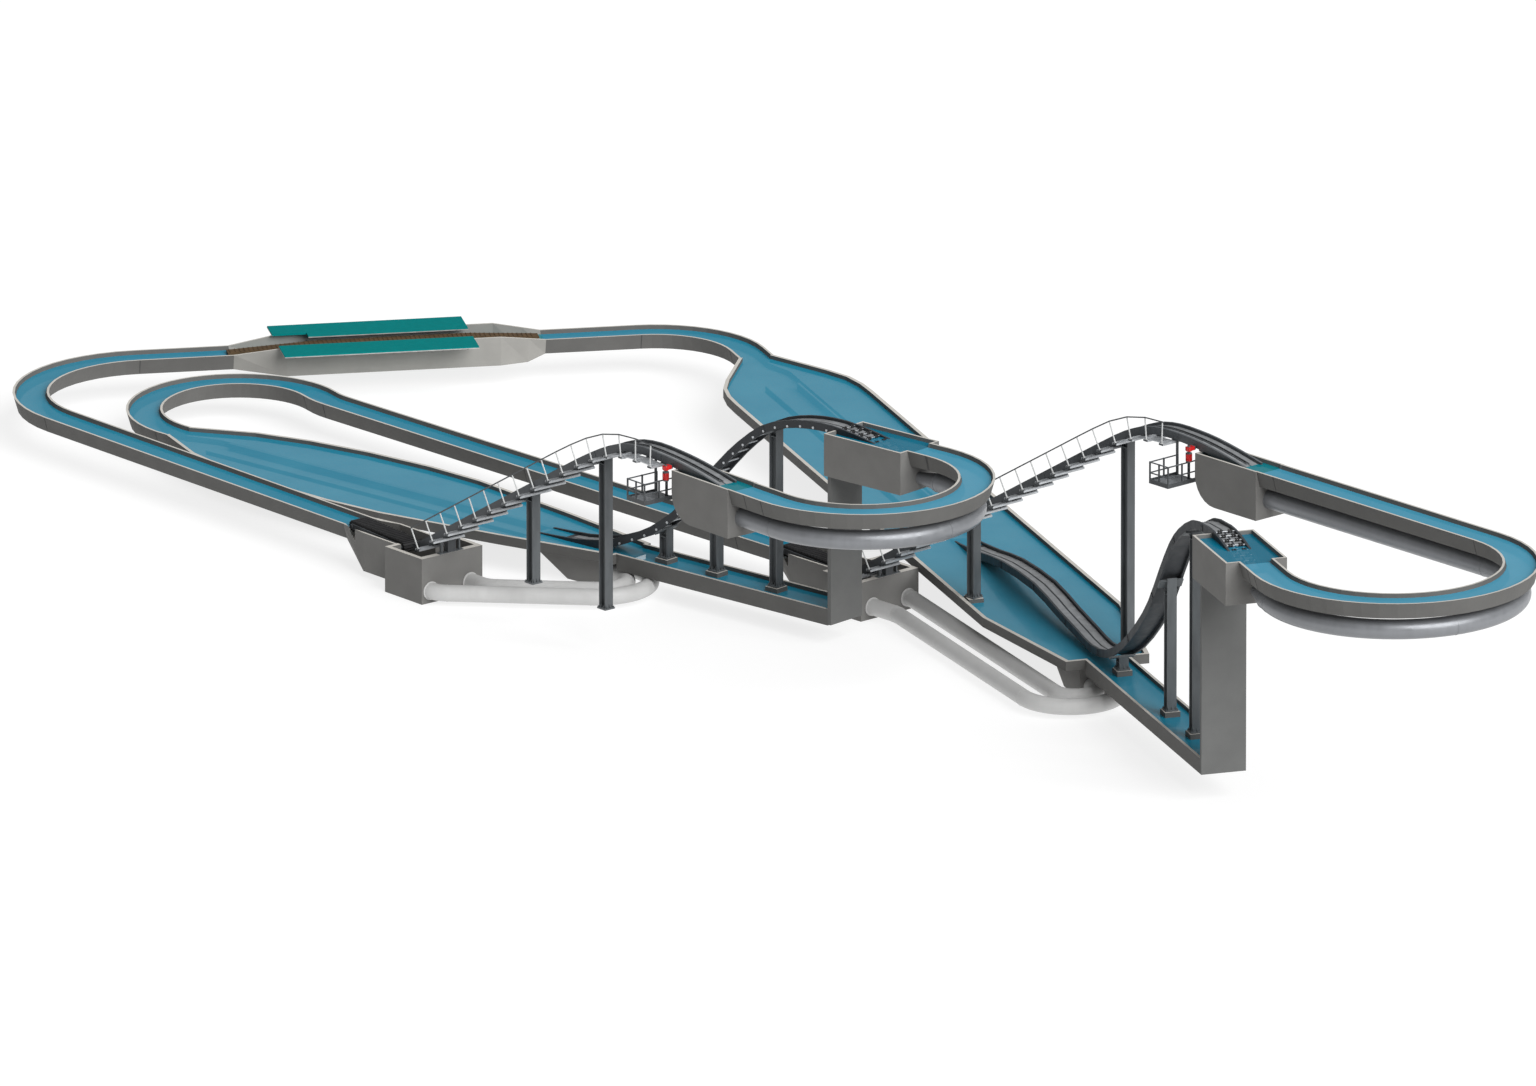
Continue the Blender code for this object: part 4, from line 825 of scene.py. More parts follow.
def pool_water(name, axis, banks, basin_end, level):
    """One sheet over a pool and its narrow basin."""
    rows = [(s, half - POOL_WALL) for s, half in banks[:-1]]
    pool_end, last_half = banks[-1][0] - POOL_WALL, banks[-1][1] - POOL_WALL
    inner = BASIN_HALF - BASIN_WALL
    rows += [(pool_end, last_half), (pool_end + 0.001, inner), (basin_end - BASIN_WALL, inner)]
    sheet_on(name, POOL_WATER, axis, rows, level)


def tank_water(name, material, axis, tank, half, level):
    rows = [(s, half - TANK_WALL) for s in (tank[0] + TANK_WALL, tank[1] - TANK_WALL)]
    sheet_on(name, material, axis, rows, level)


def high_water(run):
    level = run.rim - WATER_DROP
    channel_name, drop_name, lift_name = (
        f"water_{place}_{run.number}" for place in ("high_channel", "drop_tank", "lift_tank")
    )
    sheet_along(channel_name, HIGH_WATER, (run.path(TANK_WALL),), ELEVATED_WATER_HALF, level)
    tank_water(drop_name, DROP_WATER_PAINTED_SHADE, run.drop, run.drop_tank, run.drop_tank_half, level)
    tank_water(lift_name, LIFT_WATER, run.lift, run.lift_tank, LIFT_TANK_HALF, level)


def all_water():
    station_water()
    loop_water()
    pool_water("water_pool_1", DROP_1, POOL_1_BANKS, TANK_2[0], RIM_LOWER - WATER_DROP)
    pool_water("water_pool_2", DROP_2, POOL_2_BANKS, TANK_4[0], RIM_STATION - WATER_DROP)
    for run in HIGH_RUNS:
        high_water(run)


# Tracks


def tread_places(rail, columns, last):
    """The walkway's treads as places and heights, evenly between the columns."""
    between = columns[1] - columns[0]
    spacing = between / round(between / TREAD_SPACING)
    below = int((columns[0] - rail.profile[0][0] - FOOT_WITHOUT_TREADS) / spacing - 0.5)
    first = columns[0] - (below + 0.5) * spacing
    count = int((last - first) / spacing) + 1
    line = rail.bottoms()
    places = [first + index * spacing for index in range(count)]
    return [(s, on_profile(line, s)[0] - TREAD_DROP) for s in places]


def walkway(number, rail, places):
    """Gratings on the treads, planks between the last of them, and edge strips along them all."""
    piece = Piece(f"lift_{number}_tread_gratings", GALVANISED, "galvanised")
    axis = rail.axis
    deep = TREAD_HALF_DEPTH - 0.02
    outer, inner = TREAD_OUTER + 0.12, TRACK_HALF - 0.02
    plank, plank_rise, plank_thickness = 0.07, 0.03, 0.05
    bar, long_rise, long_height, cross_rise, cross_height = 0.022, 0.02, 0.04, 0.014, 0.028
    edge_width, edge_height, edge_drop = 0.02, 0.1, 0.03
    for (s, z), (after, z_after) in zip(places[-4:], places[-3:]):
        for n in spread(TREAD_OUTER + 0.16, -TRACK_HALF - 0.06, 7):
            low = axis.at(s + deep, n, z + plank_rise)
            piece.bar(low, axis.at(after - deep, n, z_after + plank_rise), plank, plank_thickness)
    for s, z in places:
        for place in spread(s - deep, s + deep, 5):
            level = z + long_rise
            piece.bar(axis.at(place, outer, level), axis.at(place, inner, level), bar, long_height)
        for n in spread(TREAD_OUTER + 0.13, inner - 0.02, 9):
            low = axis.at(s - TREAD_HALF_DEPTH, n, z + cross_rise)
            piece.bar(low, axis.at(s + TREAD_HALF_DEPTH, n, z + cross_rise), bar, cross_height)
        for side in (-1, 1):
            edge = s + side * (TREAD_HALF_DEPTH + 0.012)
            low = axis.at(edge, TREAD_OUTER, z - edge_drop)
            piece.bar(low, axis.at(edge, inner, z - edge_drop), edge_width, edge_height)
    piece.finish()


def handrail(number, rail, places):
    """Slim pale posts on foot plates, square to the climb, under a dark rail."""
    stands_for = [f"lift_{number}_handrail"]
    post, foot_plate, lift = 0.055, (0.16, 0.12, 0.02), 0.012
    rail_radius, overhang = 0.035, 0.06
    posts = Piece(f"lift_{number}_handrail_posts", PALE_POST, "galvanised", stands_for)
    tops = []
    for s, z in places:
        lean = rail.up(s)
        foot = rail.axis.at(s, TREAD_OUTER + 0.06, z + lift)
        top = foot + lean * (HANDRAIL_HEIGHT - 0.02)
        posts.bar(foot, top - lean * 0.02, post, post, rail.side)
        posts.block(foot + UP * 0.004, rail.along(s), UP, foot_plate)
        tops.append(top)
    posts.finish(0.008)
    top_rail = Piece(f"lift_{number}_handrail_rail", DARK_RAIL, "frame_steel", stands_for)
    run_in = (tops[1] - tops[0]).normalized() * overhang
    run_out = (tops[-1] - tops[-2]).normalized() * overhang
    line = [tops[0] - run_in] + tops[1:-1] + [tops[-1] + run_out]
    top_rail.tube(line, [rail_radius] * len(line), 12)
    top_rail.finish()


def flat_section(first, second, low, high):
    """The corners of a flat bar, across the track and down from its rail tops."""
    return [(first, low), (second, low), (second, high), (first, high)]


def track_floor(name, rail, start, end):
    """The worn sheet that lines a track's floor, in two halves with a groove between."""
    piece = Piece(name, LINER, "frame_steel")
    groove, edge = 0.05, 0.47
    for side in (-1, 1):
        section = flat_section(side * groove, side * edge, PLATE_TOP - 0.004, PLATE_TOP - 0.02)
        piece.loft(rail.section_points(start, end, section))
    piece.finish()


def chain(number, rail, start, end):
    """The lift's chain: plates and rollers between two low guides in the middle of the floor."""
    guides = Piece(f"lift_{number}_chain_guides", LIFT_STEEL, "frame_steel")
    for side in (-1, 1):
        section = flat_section(side * 0.07, side * 0.11, PLATE_TOP - 0.005, 0.10)
        guides.loft(rail.section_points(start, end, section))
    guides.finish()
    links = Piece(f"lift_{number}_chain", RUBBER, "belt_black")
    pitch, depth, plate = 0.3, 0.125, (0.26, 0.014, 0.05)
    for index, s in enumerate(rail.walk(start + 0.1, end - 0.1, pitch)):
        width = 0.03 if index % 2 else 0.045
        for n in (-width, width):
            links.block(rail.at(s, n, -depth), rail.along(s), rail.up(s), plate)
        links.pin(rail.at(s, 0.0, -depth), rail.side, 0.05, 0.022, 8)
    links.finish()


def beam_joints(name, rail, material, start, end, spacing):
    """Bolted splice plates on the outer faces of the side beams."""
    piece = Piece(name, material, "frame_steel")
    plate = (0.26, 0.03, BEAM_DEPTH - 0.06)
    for s in rail.walk(start, end, spacing)[1:]:
        along, up = rail.along(s), rail.up(s)
        for hand in (-1, 1):
            middle = rail.at(s, hand * (TRACK_HALF + 0.012), -BEAM_DEPTH / 2)
            piece.block(middle, along, up, plate)
            for step in (-0.08, 0.08):
                for rise in (-0.09, 0.09):
                    bolt = middle + along * step + up * rise
                    piece.rod(bolt, bolt + rail.side * hand * 0.035, 0.02, 6)
    piece.finish(0.006)


def cross_ties(name, rail, start, end, spacing):
    """Tubes across the underside of the track, with pale end flanges."""
    piece = Piece(name, GALVANISED, "galvanised")
    depth, tube, flange, flange_length = PLATE_BOTTOM + 0.08, 0.045, 0.065, 0.03
    for s in rail.walk(start, end, spacing):
        middle = rail.at(s, 0.0, -depth)
        piece.pin(middle, rail.side, BETWEEN_BEAMS, tube)
        for hand in (-1, 1):
            face = middle + rail.side * hand * (TRACK_HALF + 0.002)
            piece.rod(face, face + rail.side * hand * flange_length, flange)
    piece.finish()


def wheels(name, rail, start, end, spacing):
    """Paired wheels with pale hubs on axles between the beams, over the tank behind the crest."""
    tyres = Piece(f"{name}_tyres", RUBBER, "belt_black")
    hubs = Piece(f"{name}_hubs", GALVANISED, "galvanised")
    depth, axle, tyre, hub = 0.06, 0.025, 0.095, 0.042
    for s in rail.walk(start, end, spacing):
        middle = rail.at(s, 0.0, -depth)
        hubs.pin(middle, rail.side, BETWEEN_BEAMS, axle, 10)
        for n in (-0.33, -0.2, 0.2, 0.33):
            centre = middle + rail.side * n
            tyres.pin(centre, rail.side, 0.045, tyre, 20)
            hubs.pin(centre, rail.side, 0.055, hub)
    tyres.finish(0.015)
    hubs.finish()


# Columns and feet


def cap_place(rail, s):
    """Middle and slope of a column's cap, whose top lies just under the beams along all its length."""
    line = rail.bottoms()
    low, _ = on_profile(line, s - CAP_HALF_LENGTH)
    high, _ = on_profile(line, s + CAP_HALF_LENGTH)
    slope = math.atan2(high - low, 2 * CAP_HALF_LENGTH)
    height, _ = on_profile(line, s)
    clearance = 0.0
    for beside in spread(s - CAP_HALF_LENGTH, s + CAP_HALF_LENGTH, 41):
        level, _ = on_profile(line, beside)
        rise = (level - height) * math.cos(slope) - (beside - s) * math.sin(slope)
        clearance = min(clearance, rise)
    drop = CAP_THICKNESS / 2 + GAP - clearance
    return s + drop * math.sin(slope), height - drop * math.cos(slope), slope


def column_fittings(name, rail, s, foot):
    """Small gussets and bolts on a column's base plate, and stiffeners between its flanges."""
    axis = rail.axis
    middle, cap_z, slope = cap_place(rail, s)
    plate = foot + GAP + BASE_PLATE_THICKNESS
    half, edge = COLUMN_SIZE / 2, BASE_PLATE / 2 - 0.01
    faces = (-0.0125, 0.0125)
    lip, flange_gusset, web_gusset = 0.04, 0.24, 0.2
    bolt_along, bolt_across = 0.27, 0.28
    piece = Piece(name, COLUMN_STEEL, "frame_steel")
    for hand in (-1, 1):
        near, far = middle + hand * half, middle + hand * edge
        outline = [(near, plate), (far, plate), (far, plate + lip), (near, plate + flange_gusset)]
        for n in (-0.2, 0.0, 0.2):
            piece.loft([[axis.at(at, n + face, z) for at, z in outline] for face in faces])
        outline = [(0.03, plate), (edge, plate), (edge, plate + lip), (half - 0.04, plate + web_gusset)]
        for along in (-0.12, 0.12):
            places = [middle + along + face for face in faces]
            piece.loft([[axis.at(at, hand * n, z) for n, z in outline] for at in places])
        for along in (-bolt_along, bolt_along):
            bolt = axis.at(middle + along, hand * bolt_across, plate)
            piece.rod(bolt, bolt + UP * 0.04, 0.035, 6)
            piece.rod(bolt, bolt + UP * 0.08, 0.018, 8)
    # A stiffener between the flanges just below the cap
    under = cap_z - CAP_THICKNESS / 2 / math.cos(slope) - half * abs(math.tan(slope)) - 0.12
    stiffener = (COLUMN_SIZE - 0.1, half - 0.04, 0.03)
    for hand in (-1, 1):
        piece.block(axis.at(middle, hand * (half / 2 + 0.01), under), axis.run, UP, stiffener)
    piece.finish()


def lift_foot(number, rail, pit_wall, pit_top):
    """The bracket that holds a lift's foot on the pit's end wall."""
    axis = rail.axis
    plate = (0.32, 1.5, 0.04)
    web, flange, web_side = 0.1, 0.16, 0.56
    bolt_height, bolt_radius = 0.05, 0.035
    piece = Piece(f"lift_{number}_foot_bracket", COLUMN_STEEL, "frame_steel")
    piece.block(axis.at(pit_wall, 0.0, pit_top + GAP + 0.02), axis.run, UP, plate)
    top = on_profile(rail.bottoms(), pit_wall)[0] + 0.02
    for n in (-web_side, web_side):
        low = axis.at(pit_wall, n, pit_top + 0.03)
        piece.bar(low, axis.at(pit_wall, n, top), web, flange, axis.run)
    for n in (-0.7, -0.4, 0.4, 0.7):
        bolt = axis.at(pit_wall + 0.08, n, pit_top + 0.04)
        piece.rod(bolt, bolt + UP * bolt_height, bolt_radius, 6)
    piece.finish(0.006)


# Drives, belts and platforms


def drive(number, rail, s):
    """A finned upright motor below a gearbox, on the near beam."""
    side = rail.side
    height, slope = on_profile(rail.profile, s)
    middle = height - BEAM_DEPTH / 2 / math.cos(slope)
    shaft = -1.0
    gearbox, terminal_box, coupling = (0.4, 0.28, 0.2), (0.18, 0.12, 0.09), (0.1, 0.24, 0.18)
    fins, fin, fin_middle = 20, (0.34, 0.014, 0.045), 0.145
    node = f"lift_{number}_motor"

    def spot(n, rise):
        return rail.axis.at(s, n, middle + rise)

    def drum(piece, low, high, radius):
        piece.rod(spot(shaft, low), spot(shaft, high), radius, 24)

    red = Piece(f"lift_{number}_drive", RED_PAINT, "motor_red", [node])
    red.block(spot(-0.92, -0.18), side, UP, gearbox)
    drum(red, -0.3, -0.1, 0.155)
    drum(red, -0.82, -0.44, 0.135)
    for index in range(fins):
        angle = math.tau * index / fins
        out = Vector((math.cos(angle), math.sin(angle), 0.0))
        red.block(spot(shaft, -0.63) + out * fin_middle, UP, out, fin)
    red.block(spot(-1.13, -0.58), UP, side, terminal_box)
    red.finish(0.012)
    grey = Piece(f"lift_{number}_drive_flanges", LIFT_STEEL, "frame_steel", [node])
    drum(grey, -0.44, -0.4, 0.17)
    drum(grey, -0.4, -0.3, 0.08)
    drum(grey, -0.87, -0.81, 0.155)
    drum(grey, -0.1, -0.06, 0.09)
    grey.block(spot(-0.68, -0.18), side, UP, coupling)
    grey.finish(0.008)


def belt_details(number, axis, start, end, start_top, end_top):
    """Cleats round an infeed belt, its side frames and its drum hubs."""
    top = Rail(axis, [(start, start_top), (end, end_top)])
    along, up, side = top.along(start), top.up(start), axis.side
    first = axis.at(start + BELT_RADIUS, 0.0, start_top - BELT_RADIUS)
    second = axis.at(end - BELT_RADIUS, 0.0, end_top - BELT_RADIUS)
    run = (second - first).length
    cleat, cleat_spacing = (2 * BELT_HALF, 0.05, 0.06), 0.22
    cleats = Piece(f"lift_{number}_belt_cleats", RUBBER, "belt_black")
    for place in spread(0.0, run, round(run / cleat_spacing) + 1):
        for face in (1, -1):
            cleats.block(first + along * place + up * face * (BELT_RADIUS + 0.02), side, up, cleat)
    for centre, turn in ((first, 90.0), (second, -90.0)):
        for index in range(1, 6):
            angle = math.radians(turn + 30.0 * index)
            out = along * math.cos(angle) + up * math.sin(angle)
            cleats.block(centre + out * (BELT_RADIUS + 0.015), side, out, cleat)
    cleats.finish(0.008)
    frames = Piece(f"lift_{number}_belt_frame", LIFT_STEEL, "frame_steel")
    frame_width, frame_height, hub = 0.05, 0.3, 0.12
    for hand in (-1, 1):
        out = side * hand
        beside = out * (BELT_HALF + 0.05)
        frames.bar(first + beside, second + beside, frame_width, frame_height, up)
        for centre in (first + beside, second + beside):
            frames.rod(centre - out * 0.04, centre + out * 0.06, hub, 20)
    frames.finish(0.008)


def platform_details(number, axis, back, rim):
    """Grating bars and toe plates on a lift's service platform."""
    start, end = back - PLATFORM_REACH[0], back - PLATFORM_REACH[1]
    near, far = PLATFORM_SIDES
    top = rim - PLATFORM_DROP
    bar, bar_height, tie, tie_height = 0.03, 0.032, 0.022, 0.024
    toe_thickness, toe_height = 0.02, 0.14
    piece = Piece(f"lift_{number}_platform_grating", GALVANISED, "galvanised")
    for n in spread(near + 0.08, far - 0.08, 23):
        level = top + bar_height / 2
        piece.bar(axis.at(start + 0.04, n, level), axis.at(end - 0.04, n, level), bar, bar_height)
    for s in spread(start + 0.1, end - 0.1, 7):
        level = top + tie_height / 2
        piece.bar(axis.at(s, near + 0.06, level), axis.at(s, far - 0.06, level), tie, tie_height)
    piece.finish()
    plates = Piece(f"lift_{number}_platform_toe_plates", PLATFORM_STEEL, "galvanised")
    level = top + 0.06
    low, high, side = start + 0.012, end - 0.012, near + 0.012
    corners = [axis.at(s, n, level) for s, n in ((low, far), (low, side), (high, side), (high, far))]
    for first, second in zip(corners, corners[1:]):
        plates.bar(first, second, toe_thickness, toe_height)
    plates.finish()


# Pipes


def bead(piece, point, run, radius, length=0.04, proud=0.012):
    """A weld or flange ring round a pipe."""
    piece.pin(point, Vector((run.x, run.y, 0.0)).normalized(), length / 2, radius + proud, 40)


def high_pipe(run):
    """The smooth feed pipe under a high channel, with weld rings and its reducer."""
    front = run.drop_tank[1]
    plan = [run.lift.plan(run.lift_tank[1] + GAP)] + [point for point, _ in run.turn(FINE_STEP)]
    plan += [run.drop.plan(front + reach) for reach in (REDUCER_LENGTH, 0.25, GAP)]
    radii = [ELEVATED_PIPE_RADIUS] * (len(plan) - 2) + [REDUCER_RADIUS] * 2
    points = [Vector((*point, run.rim - ELEVATED_PIPE_DROP)) for point in plan]
    stands_for = [f"elevated_pipe_{run.number}"]
    piece = Piece(f"high_pipe_{run.number}", HIGH_PIPE, "pipe_steel", stands_for)
    piece.tube(points, radii)
    piece.finish()
    rings = Piece(f"high_pipe_{run.number}_rings", HIGH_PIPE, "pipe_steel", stands_for)
    last = len(points) - 1
    for index in (1, len(points) // 2, last - 3, last - 2, last - 1):
        bead(rings, points[index], points[index + 1] - points[index], radii[index])
    rings.finish()


def suction_pipe(name, pit_end, sump_end, run_heading, n, run_offset, arrival, radius):
    """A smooth pipe from a lift's pit to a pool's sump, with weld rings at its bends."""
    pit_axis, face_s = pit_end
    drop_axis, sump_face = sump_end
    run = (run_heading, run_offset)
    in_line = drop_axis.line(arrival, reverse=True)
    bend = turn_path(turn_centre(run, in_line, radius, 1), radius, run[0], in_line[0], FINE_STEP)
    start = pit_axis.plan(face_s + GAP, n)
    first_bend = elbow(start, crossing(pit_axis.line(n), run), bend[0][0], SUCTION_ELBOW)
    second_bend = [point for point, _ in bend]
    plan = [start] + first_bend + second_bend + [drop_axis.plan(sump_face + GAP, arrival)]
    points = [Vector((*point, SUCTION_Z)) for point in plan]
    piece = Piece(f"{name}_smooth", LOW_PIPE, "pale_pipe", [name])
    piece.tube(points, [SUCTION_RADIUS] * len(points))
    piece.finish()
    rings = Piece(f"{name}_rings", LOW_PIPE, "pale_pipe", [name])
    for index in (1, len(first_bend), len(first_bend) + 1, len(points) - 2):
        bead(rings, points[index], points[index + 1] - points[index], SUCTION_RADIUS, proud=0.010)
    out = points[1] - points[0]
    bead(rings, points[0] + out.normalized() * 0.03, out, SUCTION_RADIUS, 0.05, 0.05)
    rings.finish()


# Joints and station


def channel_joint(piece, point, heading, base, rim):
    """A dark seal on both outer faces of a channel, where two lengths meet."""
    width, thickness = 0.045, 0.012
    along, left = heading_vectors(heading)
    for hand in (-1, 1):
        low = point + left * hand * (CHANNEL_BOTTOM_HALF + 0.004)
        high = point + left * hand * (CHANNEL_TOP_HALF + 0.004)
        outward = Vector((*along, 0.0)).cross(Vector((*(high - low), rim - base)))
        start, end = Vector((*low, base + 0.02)), Vector((*high, rim - 0.01))
        piece.bar(start, end, width, thickness, outward)


def channel_joints():
    station_level, lower_level = (BASE_STATION, RIM_STATION), (BASE_LOWER, RIM_LOWER)
    piece = Piece("ground_channel_seals", SEAL_AND_SHADOW_BLACK)
    for place in (LEFT_TURN[1], LEFT_TURN[-1], RETURN_TURN[1], RETURN_TURN[-2]):
        channel_joint(piece, *place, *station_level)
    for place in (COUNTER_BEND[0], COUNTER_BEND[-1], LOOP[1]):
        channel_joint(piece, *place, *lower_level)
    for s in CHANNEL_2_JOINTS:
        channel_joint(piece, LIFT_2.plan(s), LIFT_2_HEADING, *lower_level)
    piece.finish()
    piece = Piece("high_channel_seals", SEAL_AND_SHADOW_BLACK)
    for run in HIGH_RUNS:
        path = run.path()
        lift_end = (run.lift.plan(run.lift_tank[1] + HIGH_JOINT_REACH), path[0][1])
        drop_end = (run.drop.plan(run.drop_tank[1] + HIGH_JOINT_REACH), path[-1][1])
        for place in (path[1], path[-2], lift_end, drop_end):
            channel_joint(piece, *place, run.rim - ELEVATED_DEPTH, run.rim)
    piece.finish()


def station_details():
    """Cross ribs on the conveyor, and the angles that edge and carry the platforms; the carrying brackets are
    near-black, as painted shadow lines under the deck.
    """
    ribs = Piece("conveyor_ribs", BELT_BROWN, "conveyor_brown")
    conveyor = Rail(STATION, CONVEYOR_PATH)
    rib, first_rib, last_rib, rib_spacing = (0.62, 0.05, 0.03), 4.8, 20.6, 0.24
    for s in conveyor.walk(first_rib, last_rib, rib_spacing):
        ribs.block(conveyor.at(s, 0.0, 0.012), STATION.side, conveyor.up(s), rib)
    ribs.finish(0.006)
    edges = Piece("platform_edge_angles", TEAL_EDGE, "galvanised")
    level = TROUGH_TOP + GAP + 0.02
    thickness, height = 0.02, 0.045
    left, right = DECK_ENDS
    lines = [((left, n), (right, n)) for n in (*FRONT_DECK, BACK_DECK[1])]
    lines.append(((BACK_DECK_NOTCH[0], BACK_DECK[0]), (right, BACK_DECK[0])))
    lines += [((s, FRONT_DECK[0]), (s, FRONT_DECK[1])) for s in DECK_ENDS]
    lines.append(((left, BACK_DECK_NOTCH[1]), (left, BACK_DECK[1])))
    lines.append(((right, BACK_DECK[0]), (right, BACK_DECK[1])))
    for first, second in lines:
        edges.bar(STATION.at(*first, level), STATION.at(*second, level), thickness, height)
    edges.finish()
    # The brackets take the near-black seal finish so that they read as painted shadow lines under the
    # platforms' edge.
    shadow_line_brackets = Piece("platform_brackets_painted_shadow", SEAL_AND_SHADOW_BLACK, "frame_steel")
    top = TROUGH_TOP + GAP + PLATFORM_THICKNESS - 0.1
    wall_depth, tip_depth = 0.45, 0.06
    for s in spread(7.7, 16.6, 8):
        for wall, tip in ((-1.33, -2.95), (1.33, 2.3)):
            outline = [(wall, top), (tip, top), (tip, top - tip_depth), (wall, top - wall_depth)]
            shadow_line_brackets.loft([[STATION.at(s + face, n, z) for n, z in outline] for face in (-0.03, 0.03)])
    shadow_line_brackets.finish()


# Finishes on the carried-over nodes


NODE_FINISHES = {
    "tank": TANK_CONCRETE,
    "pit": TANK_CONCRETE,
    "sump": TANK_CONCRETE,
    "station_trough": STATION_CONCRETE_PAINTED_LIGHT,
    "station_platform": TEAL_GRIP,
    "station_conveyor": BELT_BROWN,
    "infeed_belt": RUBBER,
    "tower": TOWER_CONCRETE,
    "service_platform": PLATFORM_STEEL,
    "column": COLUMN_STEEL,
    "lift_1_track": LIFT_STEEL,
    "lift_2_track": LIFT_STEEL,
    "drop_1_track": DROP_STEEL,
    "drop_2_track": DROP_STEEL,
    "handrail": PALE_POST,
    "motor": RED_PAINT,
    "elevated_pipe": HIGH_PIPE,
    "suction_pipe": LOW_PIPE,
}


def finish_nodes():
    for name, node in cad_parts.items():
        material = CHANNEL_CONCRETE
        for part, finish in NODE_FINISHES.items():
            if part in name:
                material = finish
        for slot in node.material_slots:
            slot.material = material


# Stage


def direction(azimuth, elevation):
    """The way to a place seen at an azimuth to the right of the front and at an elevation, in degrees."""
    azimuth, elevation = math.radians(azimuth), math.radians(elevation)
    flat = math.cos(elevation)
    return Vector((flat * math.sin(azimuth), -flat * math.cos(azimuth), math.sin(elevation)))


def faced(data, back):
    """A light or camera that looks the other way from back."""
    made = bpy.data.objects.new(data.name, data)
    made.rotation_euler = (-back).to_track_quat("-Z", "Y").to_euler()
    bpy.context.scene.collection.objects.link(made)
    return made


def studio_floor():
    """A pale floor that glows a little, so that the shadows on it stay faint as on a light table."""
    reach, low, glow = 150.0, -0.0008, 0.77
    mesh = bpy.data.meshes.new("studio_floor")
    corners = [(-reach, -reach, low), (reach, -reach, low), (reach, reach, low), (-reach, reach, low)]
    mesh.from_pydata(corners, [], [(0, 1, 2, 3)])
    floor = bpy.data.objects.new("studio_floor", mesh)
    bpy.context.scene.collection.objects.link(floor)
    paper = Finish("studio_paper", 0.9)
    paper.shader.inputs["Emission Color"].default_value = WHITE
    paper.shader.inputs["Emission Strength"].default_value = glow
    paper.colour(paper.ramp(paper.noise(0.4, 2.0), (0.25, 0.25, 0.25), (0.27, 0.27, 0.27)))
    mesh.materials.append(paper.material)


def light():
    key = bpy.data.lights.new("key", "SUN")
    key.energy = KEY_ENERGY
    key.angle = math.radians(KEY_SPREAD)
    faced(key, direction(KEY_AZIMUTH, KEY_ELEVATION))
    world = bpy.data.worlds.new("studio")
    world.use_nodes = True
    bpy.context.scene.world = world
    background = world.node_tree.nodes["Background"]
    background.inputs["Color"].default_value = WHITE
    background.inputs["Strength"].default_value = FILL_STRENGTH
    bpy.context.scene.view_settings.view_transform = "Standard"


def camera():
    data = bpy.data.cameras.new("photograph")
    data.lens = CAMERA_LENS
    data.sensor_width = 36.0
    data.clip_start, data.clip_end = CAMERA_CLIP
    back = direction(CAMERA_AZIMUTH, CAMERA_ELEVATION)
    made = faced(data, back)
    made.location = Vector(CAMERA_TARGET) + back * CAMERA_DISTANCE
    bpy.context.scene.camera = made


def tracks():
    end_gap, splice_gap, lift_splices, drop_splices = 0.05, 0.5, 5.5, 5.0
    lifts = (
        (1, LIFT_1_RAIL, LIFT_1_COLUMNS, LIFT_1_LAST_TREAD),
        (2, LIFT_2_RAIL, LIFT_2_COLUMNS, LIFT_2_LAST_TREAD),
    )
    for number, rail, column_places, last in lifts:
        start, end = rail.ends()
        places = tread_places(rail, column_places, last)
        walkway(number, rail, places)
        handrail(number, rail, places)
        track_floor(f"lift_{number}_track_floor", rail, start + end_gap, end - end_gap)
        chain(number, rail, start + 0.2, end - 0.4)
        beam_joints(f"lift_{number}_beam_joints", rail, LIFT_STEEL, start, end - splice_gap, lift_splices)
    for number, rail in ((1, DROP_1_RAIL), (2, DROP_2_RAIL)):
        start, end = rail.ends()
        track_floor(f"drop_{number}_track_floor", rail, start + 2 * end_gap, end - end_gap)
        first = start + DROP_UNDER_WATER
        beam_joints(f"drop_{number}_beam_joints", rail, DROP_STEEL, first, end - splice_gap, drop_splices)
    cross_ties("drop_1_cross_ties", DROP_1_RAIL, *DROP_1_TIES)
    wheels("drop_1_wheels", DROP_1_RAIL, *DROP_1_WHEELS)
    wheels("drop_2_wheels", DROP_2_RAIL, *DROP_2_WHEELS)


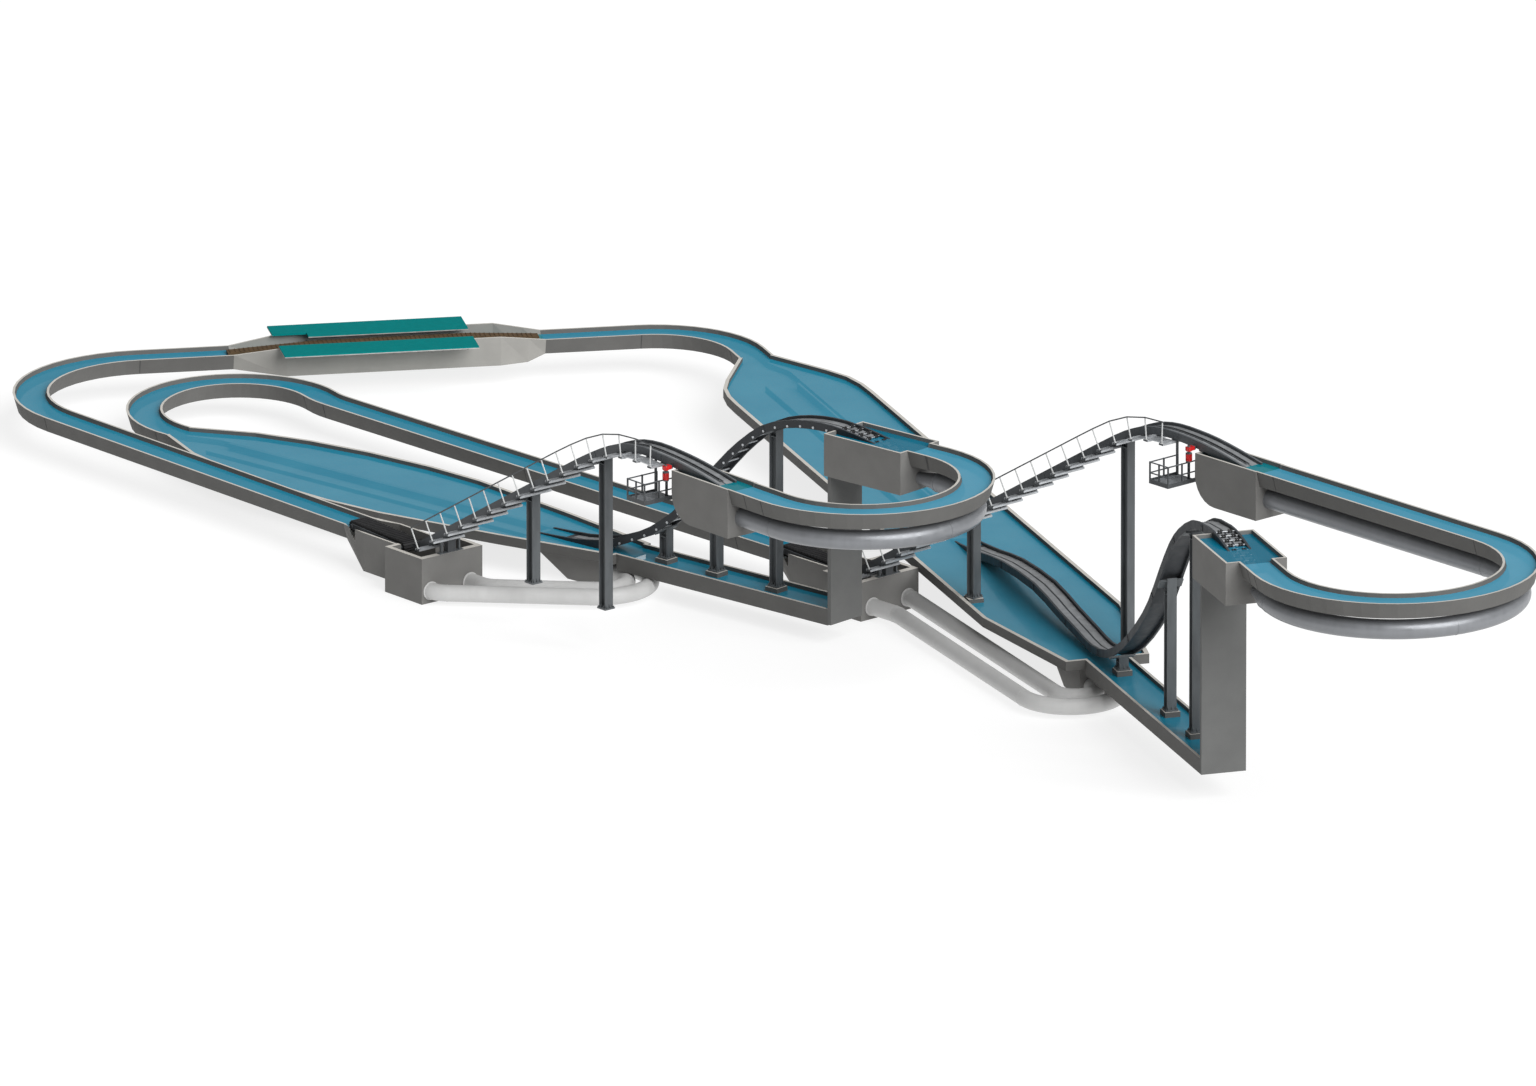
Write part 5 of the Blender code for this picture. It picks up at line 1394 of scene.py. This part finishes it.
def columns():
    for number, rail, places in ((1, LIFT_1_RAIL, LIFT_1_COLUMNS), (2, LIFT_2_RAIL, LIFT_2_COLUMNS)):
        for part, place in zip(("low", "high"), places):
            column_fittings(f"lift_{number}_column_{part}_fittings", rail, place, LIFT_COLUMN_FOOT)
    drops = ((1, DROP_1_RAIL, DROP_1_COLUMNS, DROP_1_FOOT), (2, DROP_2_RAIL, DROP_2_COLUMNS, DROP_2_FOOT))
    for number, rail, places, foot in drops:
        for index, place in enumerate(places, 1):
            column_fittings(f"drop_{number}_column_{index}_fittings", rail, place, foot)


def drives_and_belts():
    for number, rail, tank in ((1, LIFT_1_RAIL, TANK_1), (2, LIFT_2_RAIL, TANK_3)):
        drive(number, rail, tank[0] - DRIVE_REACH)
    platform_details(1, LIFT_1, TANK_1[0], RIM_LIFT_1)
    platform_details(2, LIFT_2, TANK_3[0], RIM_LIFT_2)
    belt_details(1, LIFT_1, *BELT_1)
    belt_details(2, LIFT_2, *BELT_2)
    lift_foot(1, LIFT_1_RAIL, LIFT_1_PIT_END - PIT_END_WALL / 2, BASE_STATION + PIT_RISE)
    lift_foot(2, LIFT_2_RAIL, LIFT_2_PIT_END - PIT_END_WALL / 2, BASE_LOWER + PIT_RISE)


def pipes():
    for run in HIGH_RUNS:
        high_pipe(run)
    ends_1 = (LIFT_1, LIFT_1_PIT_END), (DROP_1, SUMP_1_FRONT), LOW_RUN_HEADING
    ends_2 = (LIFT_2, LIFT_2_PIT_END), (DROP_2, SUMP_2_FRONT), FAR_RUN_HEADING
    suction_pipe("suction_pipe_1_outer", *ends_1, *SUCTION_1_OUTER)
    suction_pipe("suction_pipe_1_inner", *ends_1, *SUCTION_1_INNER)
    suction_pipe("suction_pipe_2_outer", *ends_2, *SUCTION_2_OUTER)
    suction_pipe("suction_pipe_2_inner", *ends_2, *SUCTION_2_INNER)


camera()
studio_floor()
light()
finish_nodes()
all_water()
tracks()
columns()
drives_and_belts()
pipes()
channel_joints()
station_details()
